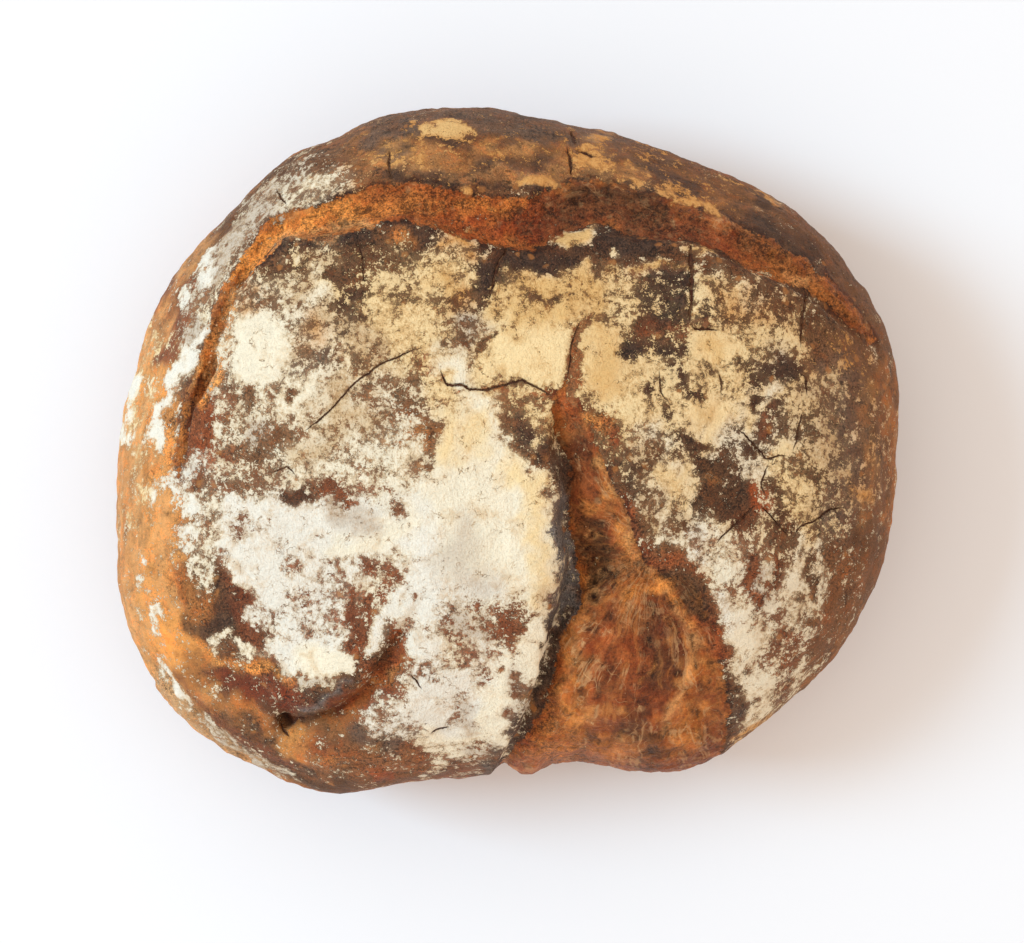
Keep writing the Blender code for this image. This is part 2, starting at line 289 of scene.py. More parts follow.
# How far noise pushes the edges of the tears, the cracks and the fibres about
TEAR_FRAY = 0.9
CRACK_FRAY = 0.45
FIBRE_SHIFT = 0.2
FIBRE_WANDER = 2.5 * MM
WANDER_LUMPS = 16 * MM
# How far past the widest line the seen place is still corrected for the relief
SEEN_FADE = 12 * MM
# The greatest depth inside or outside torn dough that is kept, in millimetres
KEPT_DEPTH = 4

# Colour round the rim and sides: degrees from the right, then the tint's name
# The honey round the left side is partly painted light, where the light falls on it
RIM_TINTS = (
    (0, "brown"), (35, "brown"), (62, "chestnut"), (90, "amber"), (118, "amber"), (138, "orange"),
    (150, "honey"), (180, "honey"), (205, "honey"), (222, "honey"), (238, "amber"),
    (255, "pink"), (290, "pink"), (315, "amber"), (335, "chestnut"), (350, "chestnut"),
)

# Brush strokes. A stroke runs through its dabs (x, y, radius), where a dab without a radius has
# that of the one before, and () lifts the brush. It covers the strokes before it.
# Strokes on the browned crust: tint, strength, softness, then the dabs
CRUST_STROKES = (
    # The cap's broad ground
    ("umber", 1, 10, (-40, 40, 26), (10, 45), (50, 40, 24), (75, 28, 22)),
    ("brown", 1, 9, (-75, 10, 16), (-50, 5, 24), (-20, 10, 22), (0, 10, 14)),
    ("russet", 1, 8, (-60, -35, 26), (-20, -40), (-10, -60, 20), (-15, -75, 18)),
    ("umber", 1, 8, (55, -5, 18), (78, 0, 22), (85, -25, 18)),
    ("char", 0.62, 6, (45, 20, 12), (62, 8, 14), (78, 16, 10), (60, -14)),
    ("russet", 0.8, 6, (70, -35, 12), (74, -55, 10), (78, -68, 9)),
    # Left rim and the crust beside the left tear; the honey there is partly painted light
    ("honey", 1, 4, (-109, -60, 9), (-113, -35, 10), (-114, -10, 9), (-111, 15, 8), (-105, 36, 7),
     (-97, 52, 6), (-91, 63, 4)),
    ("orange", 1, 3, (-100, -58, 7), (-101, -40), (-101, -20, 5), (-100, -5, 4.5), (-101, 12, 4),
     (-103, 24, 3)), ("russet", 1, 2, (-101, 27, 3), (-99, 38, 4), (-94, 49, 3.5)),
    ("russet", 1, 3, (-86, -6, 6), (-90, 5), (-87, 17)), ("russet", 1, 2, (-95, -8, 3), (-96, 2)),
    ("rust", 0.45, 3, (-89, -2, 4), (-88, 12)),
    ("honey", 0.9, 2, (-101, -16, 2.6), (-101, -32, 3), (-100, -44)), ("amber", 0.5, 2, (-90, 20, 2.4)),
    # On the next line, the amber along the outermost left edge is painted shade
    ("umber", 0.7, 2, (-83, 20, 2)), ("amber", 0.6, 2, (-114.5, 2, 2), (-115.5, -20), (-113, -42)),
    ("orange", 1, 0.6, (-90.4, 14, 0.9), (-87.2, 20, 1.5), (-85.4, 27, 2.2), (-83.4, 35, 2),
     (-80.6, 43, 1.4)), ("tan", 0.8, 0.4, (-88.4, 19, 0.5), (-85.6, 26, 1), (-83.6, 34, 0.8)),
    ("umber", 0.8, 2, (-88, -8, 2), (-78, -8)),
    # Far left shoulder
    ("brown", 1, 4, (-90, 52, 4), (-82, 64, 7), (-68, 76, 8), (-52, 84), (-40, 92)),
    ("umber", 0.8, 3, (-84, 69, 3), (-70, 82), (-58, 86)),
    ("char", 0.9, 0.7, (-64, 71.5, 1), (-52, 75.5, 1.4), (-40, 80), (-30, 81, 1.2)),
    ("umber", 1, 2, (-70, 50, 4), (-60, 56, 5), (-44, 57, 6)),
    ("char", 0.9, 0.6, (-72, 56.6, 0.8), (-66, 61, 1), (-52, 62, 1.1), (-40, 64.4, 1.4)),
    ("tan", 0.9, 0.5, (-66, 62.8, 0.8), (-58, 63.4, 1.1), (-50, 63.2, 0.8)),
    ("char", 0.8, 1.5, (-32, 65.5, 2.2), (-21, 63)), ("amber", 1, 0.8, (-31.5, 64, 1.8), (-29.5, 62)),
    ("char", 0.7, 2, (-48, 34, 4), (-44, 45, 3)),
    ("soot", 0.8, 1.5, (-69, 22, 1.6), (-60, 26, 2), (-52, 30)),
    # Far crust beyond the band
    ("amber", 0.8, 4, (-38, 87, 7), (-15, 87), (10, 87), (30, 85), (50, 80, 6), (64, 74, 5)),
    ("rust", 0.5, 3, (-20, 87, 4), (4, 88), (30, 84, 3)),
    ("soot", 0.8, 2, (-6, 86, 2.4), (-2, 84, 2.6), (10, 86.6, 3), (15, 84, 2.4), (-31, 84, 2.6)),
    ("umber", 0.7, 3, (-36, 92, 3), (-2, 94), (30, 92), (52, 85)),
    ("orange", 0.5, 2, (-24, 87, 2.2), (-12, 87), (2, 90, 1.4), (12, 90, 1.2)),
    ("brown", 0.8, 3, (-45, 97, 3), (-20, 101), (10, 100), (35, 95), (55, 88)),
    ("char", 0.9, 0.8, (-36, 93, 1.2), (-24, 91.6, 1.4), (-12, 91.4), (-3, 91, 1)),
    ("char", 0.9, 1, (-38, 83, 1.6), (-27, 82.6, 1.4), (-17, 81, 1.2)),
    ("char", 1, 1.2, (-34, 81.6, 1), (-22, 80.6), (-10, 79.4), (0, 77.4), (15, 78.6, 1.8),
     (23, 80.4, 2.2), (31, 79, 2), (42, 76), (52, 72.4), (62, 67.6, 1.6)),
    ("char", 0.8, 1.2, (24, 83.4, 1), (32, 84, 1.8), (40, 84.4), (48, 80.4, 1.6), (58, 76, 1.4)),
    ("soot", 0.8, 2, (-40, 95, 2.4), (-30, 98), (-4, 98), (14, 96), (36, 92, 2)),
    ("umber", 0.8, 1.6, (44, 89, 2), (56, 83), (68, 75, 1.6)),
    ("gold", 0.9, 1.5, (-38, 87, 2.5), (-28, 88, 3)),
    ("umber", 0.8, 1.2, (-3, 86, 2), (10, 87.5), (), (-32, 83, 1.5), (-24, 82, 1.2)),
    ("umber", 0.7, 1.5, (28, 89, 1.5), (38, 86, 2), (46, 84, 1.5)), ("gold", 1, 0.6, (-12, 77.3, 1.7)),
    ("char", 0.9, 0.4, (-7, 78.5, 0.5), (-12, 74.6, 0.6)),
    ("tan", 0.95, 0.7, (3.5, 79.4, 1.6), (8, 79.8, 1.9), (12, 79.2, 1.4)),
    ("char", 0.9, 0.5, (2.5, 76.8, 0.6), (8, 76.8, 0.8), (13, 76.8)),
    ("char", 1, 0.6, (14.5, 79, 1.2), (18, 79.3)), ("gold", 0.9, 1.2, (21, 86, 2.5), (27, 87, 3)),
    ("char", 0.9, 0.5, (20, 84, 0.8), (26, 82.8), (32, 82.5)),
    ("tan", 0.8, 1, (26, 92.5, 1.8), (30, 92.5, 1.5)), ("tan", 0.9, 1, (33, 79.5, 2), (39, 79, 2.2)),
    ("gold", 1, 0.8, (46.5, 76.5, 1.3), (55, 73.8, 1.9), (63, 70.5, 1.4)),
    ("tan", 0.8, 0.8, (73, 76, 1.2), (79, 73, 1)), ("char", 0.6, 1.5, (66, 72, 2.2)),
    ("umber", 1, 2, (71, 68, 3.5), (84, 62, 4), (93, 56, 3)),
    ("brown", 1, 2, (84, 67, 3), (92, 61), (102, 49, 4), (107, 38, 3)), ("tan", 0.7, 0.6, (77, 69, 0.8)),
    ("gold", 0.8, 2, (-20, 86, 2), (0, 81, 1.6), (18, 82), (36, 84, 2)),
    ("gold", 0.8, 1.2, (-6, 90, 1.4), (8, 91, 1.6), (16, 88, 1.2)),
    ("soot", 0.5, 1.2, (-14, 97, 0.8), (0, 95.6, 1), (14, 93.5, 1.2), (30, 88, 1)),
    ("umber", 0.7, 1, (-30, 90, 0.8), (-16, 89, 1), (-6, 87, 0.8)),
    ("char", 0.8, 1.2, (36, 80, 1), (44, 79.5, 1.2), (52, 77, 1)),
    ("umber", 1, 1.4, (18, 79, 2.4), (31, 79, 2.6)),
    ("char", 0.9, 1.2, (20, 80, 2), (31, 79.6, 2.4), (40, 77.6, 1.6)),
    ("char", 0.6, 3, (74, 68, 3), (84, 61, 4), (94, 52, 3)),
    ("char", 0.8, 1, (-18, 84.6, 1.2), (-6, 84, 1.6), (-1, 86.6, 1.4), (), (9, 85, 1.4), (14, 87.4, 1.6),
     (12, 90, 1)), ("char", 0.7, 1, (36, 86.4, 1.2), (46, 81.6, 1.6), (56, 78, 1.4)),
    ("soot", 0.9, 2, (-35, 91, 3), (-27, 92, 2.4)), ("char", 0.5, 2, (74, 72.5, 2), (82, 66, 1.5)),
    # Cap beside the band, far middle and far right
    ("char", 0.9, 1.6, (-2, 58.5, 2.8), (5, 58.5, 3.2), (12, 56, 3), (20, 56), (), (-6, 55, 3.6),
     (-6, 48, 2.6), (-8, 41, 0.8)), ("char", 0.9, 2, (22, 62, 2.5), (33, 62, 4.5), (45, 60, 4)),
    ("russet", 0.8, 1, (36, 52.5, 1.5), (46, 53, 1.4), (56, 54)),
    ("char", 0.95, 1.5, (42, 50, 3), (54, 50)), ("char", 0.95, 2, (42, 42, 4), (56, 42, 4.5)),
    ("russet", 0.8, 1, (40, 36.5, 1.5), (56, 36, 1.6)), ("char", 0.9, 1.6, (50, 30, 3.4), (36, 29, 4.4)),
    ("umber", 1, 1.5, (82, 50, 2.4), (94, 42, 2.8), (104, 33, 2.4)),
    ("char", 0.5, 2, (64, 47, 1.8), (76, 46, 1.6)), ("char", 0.6, 3, (80, 25, 5)),
    ("brown", 1, 3, (98, 30, 8), (104, 10), (104, -8), (100, -28, 7)),
    ("umber", 0.7, 3, (104, 22, 2.4), (106, 4, 3), (106, -14), (103, -30, 2.4)),
    ("amber", 0.9, 1.4, (111, 26, 1.4), (113.4, 10, 2), (114, -6, 1.2), (113, -20, 1)),
    ("chestnut", 0.8, 1.4, (111, -30, 1.6), (107, -44)),
    ("gold", 0.6, 1.2, (106, 20, 1), (104, 6, 1.2), (107, -6), (104, -22)),
    ("soot", 0.8, 3, (97, 24, 4), (99, 10, 5), (98, -6), (95, -22, 4)),
    ("chestnut", 0.8, 3, (100, -36, 4), (96, -48)),
    # Middle left
    ("brown", 1, 2, (-74, 6, 4), (-66, 0)),
    ("umber", 0.8, 1.5, (-72, -14, 2.5), (-61, -13, 3), (-50, -14)),
    ("russet", 0.8, 1.5, (-50, -13, 4), (-34, -12, 3)), ("char", 0.6, 1.5, (-61, -13, 2.5)),
    ("amber", 0.8, 2, (-28, 5, 3)), ("rust", 0.9, 1, (-22, 29, 1), (-19, 22, 1.2)),
    ("rust", 0.8, 0.8, (-14, 20, 0.9), (-3, 19.5), (8, 18), (12, 16)),
    ("rust", 0.9, 1.2, (14, 17, 1.6), (19, 13, 3), (23, 11, 1.5)),
    ("chestnut", 0.9, 0.8, (22, 40, 0.8), (20.5, 33, 1.8), (20, 27, 2.6), (19, 20, 3.4)),
    ("orange", 0.7, 1, (24, 11, 1.8), (28, 9.6)), ("rust", 0.8, 0.8, (27, 10, 0.9), (33, 4.5, 0.8)),
    ("char", 0.8, 2, (4, 11, 1.6), (5, 6, 2.6), (9.5, 0), (10, -4, 1.8)),
    # Lip of the middle fold: char, with a painted blue-grey sheen on its face
    ("soot", 1, 0.8, (15.5, 6, 1.6), (16.5, 0, 3), (16, -8, 2.8), (15.8, -16, 2.4)),
    ("slate", 1, 1, (16, -14, 2.2), (16.5, -20, 3), (17.5, -28, 3.6), (18, -36, 4), (18, -43, 3.8),
     (14.5, -50, 3)),
    ("soot", 1, 1, (13, -54, 2.4), (12, -60, 2.2), (11, -66, 2.4), (8, -71, 3), (5, -77, 3.6),
     (3, -83, 3.4), (-2, -87, 2), (-6, -93, 2.2), (-9, -104, 2)),
    ("char", 0.7, 1.2, (16, -47, 1.6), (12.8, -55, 1.2), (11.5, -63, 1), (9, -71, 2), (4, -80)),
    ("gold", 0.7, 1, (4, -74, 0.9), (7, -77, 0.8)),
    # Right cap beside the fold
    ("russet", 1, 1.5, (32, -12, 1.8), (36, -22, 2), (40, -29, 1.6)),
    ("char", 0.7, 1.5, (36, -2, 3), (38, -10)), ("umber", 0.8, 2, (56, 2, 3), (64, -7), (62, -14, 6)),
    ("amber", 0.7, 0.8, (60, -7, 0.9), (63, -9, 0.8)),
    ("rust", 0.9, 1, (74, -10, 2), (75, -15, 2.4), (74, -18, 1.2)),
    ("rust", 0.8, 0.8, (42, -30, 1), (49, -32.5, 1.1), (56, -35.5, 1.3)),
    ("umber", 1, 1.5, (50, -38, 3), (54, -43, 4), (58, -49, 3)),
    ("rust", 0.9, 1.5, (58, -52, 3), (61, -57, 2.6)), ("russet", 0.8, 1.5, (79, 11, 1.8), (77, 6, 2)),
    # Near left: dark patch with orange spots, the layers below the flap and the near rim
    ("umber", 1, 1.6, (-89, -37, 6.4), (-86, -44, 8), (-90, -50, 5.4), (-80, -52), (-73, -55, 4.8)),
    ("mahogany", 0.6, 1.6, (-82, -38, 1.6), (-78, -46, 2.4), (-73, -54)),
    ("rust", 0.6, 0.6, (-96.5, -33, 0.8), (-96.5, -39, 1), (-96, -45, 0.9)),
    ("char", 0.6, 1.4, (-94, -48, 2.4), (-88, -50), (-82, -49)),
    ("amber", 0.9, 0.5, (-92, -38, 0.8), (-90, -41, 0.9), (), (-94, -43, 0.7), (-93, -46, 0.9)),
    ("russet", 0.9, 1.5, (-76, -51, 2.4), (-72, -57, 2.6), (-69, -60, 1.8)),
    ("gold", 1, 0.5, (-87.6, -36.6, 1.1)), ("amber", 0.9, 0.7, (-80, -37, 1.2)),
    ("amber", 0.8, 0.8, (-86.5, -43, 0.9), (-90.5, -45, 1)),
    ("amber", 0.85, 1.6, (-93, -37, 2.6), (-92, -46)), ("rust", 0.6, 1.6, (-71, -80, 2.4)),
    ("orange", 1, 0.7, (-97, -53, 1.6), (-88.5, -59, 1.4), (-80, -62, 1.2), (-70, -64, 1),
     (-62, -67, 0.8)), ("orange", 1, 3, (-97, -58, 3), (-97, -64, 3.4), (-92, -73, 2.6), (-84, -80, 2.4)),
    ("amber", 0.9, 2, (-93, -61, 2.4), (-90, -68, 2), (-84, -76)),
    ("mahogany", 1, 1.6, (-86, -65, 2.6), (-78, -68, 4.4), (-70, -72, 5.8), (-63, -72, 5)),
    ("umber", 0.8, 1.6, (-70, -74, 3), (-68, -78, 2)), ("gold", 0.9, 0.8, (-88, -71, 2), (-88, -73, 1.6)),
    ("amber", 1, 1.4, (-80, -74, 2.4), (-75, -78), (-70, -82, 2.6)),
    ("umber", 0.9, 2.2, (-84, -80, 2.6), (-77, -84, 3), (-69, -87, 2.4)),
    ("orange", 0.75, 1.6, (-63, -84.5, 2.8), (-59, -86, 2.6)),
    ("rust", 0.8, 1.5, (-57, -86, 2.4), (-52, -88, 2)),
    ("chestnut", 1, 2, (-60, -91, 2.6), (-53, -92, 3.2), (-40, -91, 4), (-28, -92)),
    ("umber", 1, 1, (-62, -94, 1.8), (-55, -97, 2), (-47, -99.5)),
    ("amber", 0.8, 1, (-52, -90, 1.6), (-56, -90, 1.4)),
    ("rust", 1, 0.8, (-40, -94.5, 1.1), (-35, -96.5, 1.2)),
    ("tan", 0.9, 1.5, (-104, -66, 2.2), (-96, -78), (-86, -86), (-74, -93, 2)),
    ("russet", 0.9, 1, (-96, -66, 0.9), (-91, -74, 1.2), (-85, -80, 1.3), (-76, -86, 1.4), (-64, -91)),
    # Lower channel and the front of the near lobe, with painted shade along the flap's lip and in its
    # hole
    # Umber along the flap's lip: painted shade in the channel under it
    ("umber", 1, 1.4, (-31, -48, 1.5), (-35, -54, 2.6), (-38, -61, 3.2), (-43, -67, 3.4), (-49, -73, 3)),
    ("rust", 0.8, 1.6, (-30, -50, 1.4), (-33, -58, 2.4), (-36, -65, 3), (-40, -71, 3.4), (-46, -77, 3.6)),
    ("mahogany", 0.9, 1.6, (-34, -68, 3), (-41, -74, 3.4), (-51, -78, 3.2)),
    ("amber", 0.7, 1.4, (-31, -60, 1.6), (-50, -82, 2), (-56, -80, 2.4)),
    # Painted shade beside the hole under the flap, and in it
    ("umber", 0.9, 1, (-62, -78.5, 2.2), (-57, -78, 1.8)),
    ("crack", 1, 0.4, (-66.6, -78.2, 1.1), (-64.4, -79.6, 1.3), (-61.5, -78.4, 0.5)),
    ("gold", 1, 0.4, (-35.4, -64, 0.6), (-34.6, -66)), ("gold", 0.9, 0.4, (-38.5, -66, 0.7)),
    ("russet", 0.9, 1.5, (-45, -41, 3), (-45, -48, 3.2), (-44, -56, 2.6), (-42, -62, 2.2)),
    ("soot", 0.8, 1.6, (-45, -83, 2.4), (-38, -85, 2.6), (-30, -84, 2.4)),
    ("gold", 0.8, 0.7, (-41, -86, 1.2), (-38.5, -86.4, 1)),
    ("char", 0.7, 0.7, (-60, -69, 1), (-56, -73.5, 1.2), (-51, -71.5, 1)),
    # Along the flap's lip: char with a painted blue-grey sheen
    ("slate", 0.8, 0.6, (-60, -75.5, 0.8), (-56, -75, 0.9), (-51, -71.8, 0.8), (-47, -68, 0.6)),
    # Near right rim
    ("umber", 1, 3, (66, -66, 3.4), (66, -78, 3.6), (64, -88, 3)), ("soot", 0.7, 1.8, (66, -76, 2.4)),
    ("russet", 0.9, 2, (82, -57, 3.4)),
    ("brown", 1, 3, (78, -78, 4), (90, -66, 4.5), (100, -52, 5), (106, -38, 4)),
    ("amber", 0.7, 2.5, (86, -74, 2), (98, -62, 2.4), (108, -44)),
)

# Strokes on the torn dough of the band and the middle fold: tint, strength, softness, then the dabs
TORN_STROKES = (
    ("amber", 1, 2, (-98, -8, 6), (-91, 22, 8), (-82, 46), (-74, 58, 7)),
    ("orange", 1, 1.5, (-90.5, 24, 2.4), (-85.5, 36)),
    ("tan", 0.9, 0.6, (-93.6, 16, 0.5), (-93.6, 22, 0.8), (-91.5, 29, 0.9), (-89.5, 35, 0.8), (),
     (-90, 15, 0.5), (-87.6, 22, 0.7), (-86, 29, 1.2), (-83, 38, 1), (-80, 46, 0.9)),
    # The honey here is partly painted light on the lit left side
    ("honey", 0.8, 1, (-84, 33, 1.2), (-86.4, 40, 1.4), (-88.6, 32, 1)),
    # The mahogany and crack dabs down the tear paint the shade in its hole
    ("mahogany", 0.7, 0.5, (-88.6, 27, 0.5), (-90, 23, 0.9), (-91.8, 18.5, 0.8), (-94, 14, 0.4)),
    ("crack", 1, 0.3, (-90, 23.5, 0.7), (-91.4, 19.8, 0.6)),
    ("russet", 0.8, 0.6, (-87, 35, 0.7), (-84.5, 41, 0.9), (-82, 47)),
    ("orange", 1, 2, (-81, 52, 3), (-74, 58, 4.4), (-60, 67, 5), (-49, 69.5)),
    ("rust", 1, 3, (-36, 73, 7), (-28, 75), (-14, 70, 9), (4, 70)),
    ("orange", 0.6, 2.5, (-42, 71, 5), (-30, 74, 4), (-14, 71, 3.4), (-2, 71, 3)),
    ("russet", 1, 3, (16, 71, 8), (26, 74), (42, 70), (60, 64, 6), (70, 59, 5)),
    ("tan", 0.9, 0.5, (-70, 60, 0.8), (-64, 63.6, 1.1), (-56, 65, 1.2), (-48, 65.6, 1), (-40, 67.4, 0.8)),
    ("orange", 0.7, 1.5, (-4, 72, 1.6), (3, 72.5, 1.8)), ("mahogany", 0.6, 2, (0, 67, 3), (8, 66)),
    # The honey here is partly painted light on the lit left side
    ("honey", 0.9, 1.5, (-81, 50, 2.6)), ("umber", 0.7, 2, (79, 59.5, 2.6)),
    ("umber", 0.9, 1.5, (18, 77.6, 2.4), (32, 77.6, 2.6), (44, 74.4, 1.6)),
    ("umber", 0.7, 2, (16, 72, 3), (24, 73), (44, 70, 3.4)), ("rust", 0.5, 2, (62, 62, 3), (72, 57)),
    ("chestnut", 0.9, 2, (74, 58, 3.4), (88, 51), (97, 44, 3), (105, 35)),
    ("amber", 0.7, 1.4, (76, 57, 1.4), (88, 50, 1.6), (97, 43, 1.4)),
    ("tan", 0.9, 0.7, (82, 52.4, 0.9), (88, 50.4, 1)),
    # Hollow under the middle lip
    ("chestnut", 1, 3, (20, 14, 5), (22, 0, 8), (26, -14), (28, -28)),
    ("rust", 0.8, 2, (24, 4, 2.4), (26, -8), (30, -26)), ("rust", 0.8, 1.2, (16, 15, 1.6), (20, 11, 2.2)),
    ("char", 0.7, 1.4, (16, 5, 1.6), (19.5, 2.6, 1.8), (18, -4, 1.6)),
    ("orange", 0.8, 1.6, (26, 9, 1.4), (29, -2), (31, -12)),
    ("orange", 0.8, 1.5, (25, -16, 1.6), (31, -19, 2), (35, -25)),
    ("russet", 0.9, 2, (20, 2, 2), (21, -8), (22, -20, 2.2)),
    ("tan", 0.7, 0.6, (27, -1, 0.7), (30, -7, 0.8), (33, -13, 0.9), (37, -28, 0.8)),
    ("umber", 1, 2, (24, -24, 3), (27, -34, 4.4), (26, -42, 3.6), (23, -47, 2)),
    ("char", 0.8, 1.6, (23, -34, 1.8), (24.5, -42, 2)),
    # The lobe of inner dough
    ("amber", 1, 3, (40, -34, 4), (32, -46, 6), (22, -58, 8), (20, -74, 9), (22, -88)),
    ("mahogany", 1, 5, (44, -46, 4), (44, -60, 11), (44, -74, 13), (38, -86, 12)),
    ("umber", 0.8, 3, (40, -54, 4), (44, -66, 5), (36, -82)),
    ("russet", 0.7, 2, (30, -50, 2), (27, -60, 2.6), (30, -70, 3), (28, -78, 2.4), (), (31, -20, 2.4)),
    ("russet", 1, 4, (34, -90, 6), (48, -92, 8), (60, -86, 5)),
    ("rust", 0.6, 2.5, (33, -58, 2), (36, -70, 2.6), (47, -72), (44, -84, 3)),
    ("amber", 1, 3, (55, -60, 3.4), (56, -70, 4.4), (55, -80), (48, -87, 3), (26, -87, 3.4),
     (14, -86, 3)), ("orange", 0.5, 2, (56, -64, 1.8), (58, -76, 2), (54, -86, 2.4)),
    ("umber", 0.9, 2, (37, -83, 3.4), (44, -87, 2.4)),
    ("umber", 1, 1.4, (48, -35.5, 2), (52, -40, 4), (56, -46, 3.6), (60, -54, 2.4)),
    ("orange", 0.9, 0.5, (44, -34, 0.6), (47, -40, 0.7), (50, -46), (54, -52, 0.8)),
    ("rust", 0.9, 1, (57, -51, 1.8), (60, -58, 2.2)),
    ("tan", 0.85, 1, (42, -32.5, 1.4), (43.5, -37, 1), (47, -44)),
    ("tan", 0.8, 1, (50, -49, 0.8), (54, -57, 1.3), (54, -66), (50.5, -75, 1.6), (48, -83)),
    ("tan", 0.6, 0.7, (36, -40, 0.6), (29, -48, 0.8), (22, -57), (18, -66, 0.7)),
    ("tan", 0.5, 0.7, (38, -42, 0.5), (33, -52, 0.7), (27, -60, 0.8), (25, -70), (21, -78, 0.6)),
    ("orange", 0.9, 1.2, (42, -36, 1.8), (46, -42), (36, -42, 1.6)),
    ("rust", 0.8, 1.6, (14.5, -58, 1.6), (13.5, -68, 1.4), (11, -76), (6, -84, 1.6), (1, -92)),
    ("rust", 0.8, 2, (26, -52, 3), (28, -62), (24, -70, 2)),
    ("orange", 0.4, 2, (18, -60, 2.4), (20, -74, 3), (14, -84)),
    ("amber", 0.8, 1.2, (12, -77, 2), (9.4, -83, 1.8)), ("russet", 0.8, 2.5, (30, -49, 3), (21, -50, 2)),
    ("mahogany", 0.9, 2, (29, -41, 2.6)), ("russet", 0.7, 2, (60, -70, 2.6), (60, -80, 2.4)),
    ("chestnut", 0.7, 6, (16, -112, 12), (46, -112)),
    ("pink", 0.9, 4, (5, -97, 5), (20, -94), (34, -96), (50, -98), (62, -94, 4)),
    ("tan", 0.5, 1, (22, -72, 1), (26, -75), (24, -77, 0.9)),
    ("gold", 0.8, 0.6, (46, -50, 0.6), (48, -54, 0.7), (47, -58), (), (33.5, -75, 1.3), (),
     (34, -83, 1.2)),
    ("gold", 0.9, 0.4, (41.5, -63, 1.1), (), (49.5, -62.6, 1), (), (51, -67.4, 1.1), (), (56.5, -62, 1)),
    ("gold", 0.8, 0.4, (39, -66.6, 0.9)), ("gold", 0.8, 0.8, (57, -84.6, 1.6)),
)

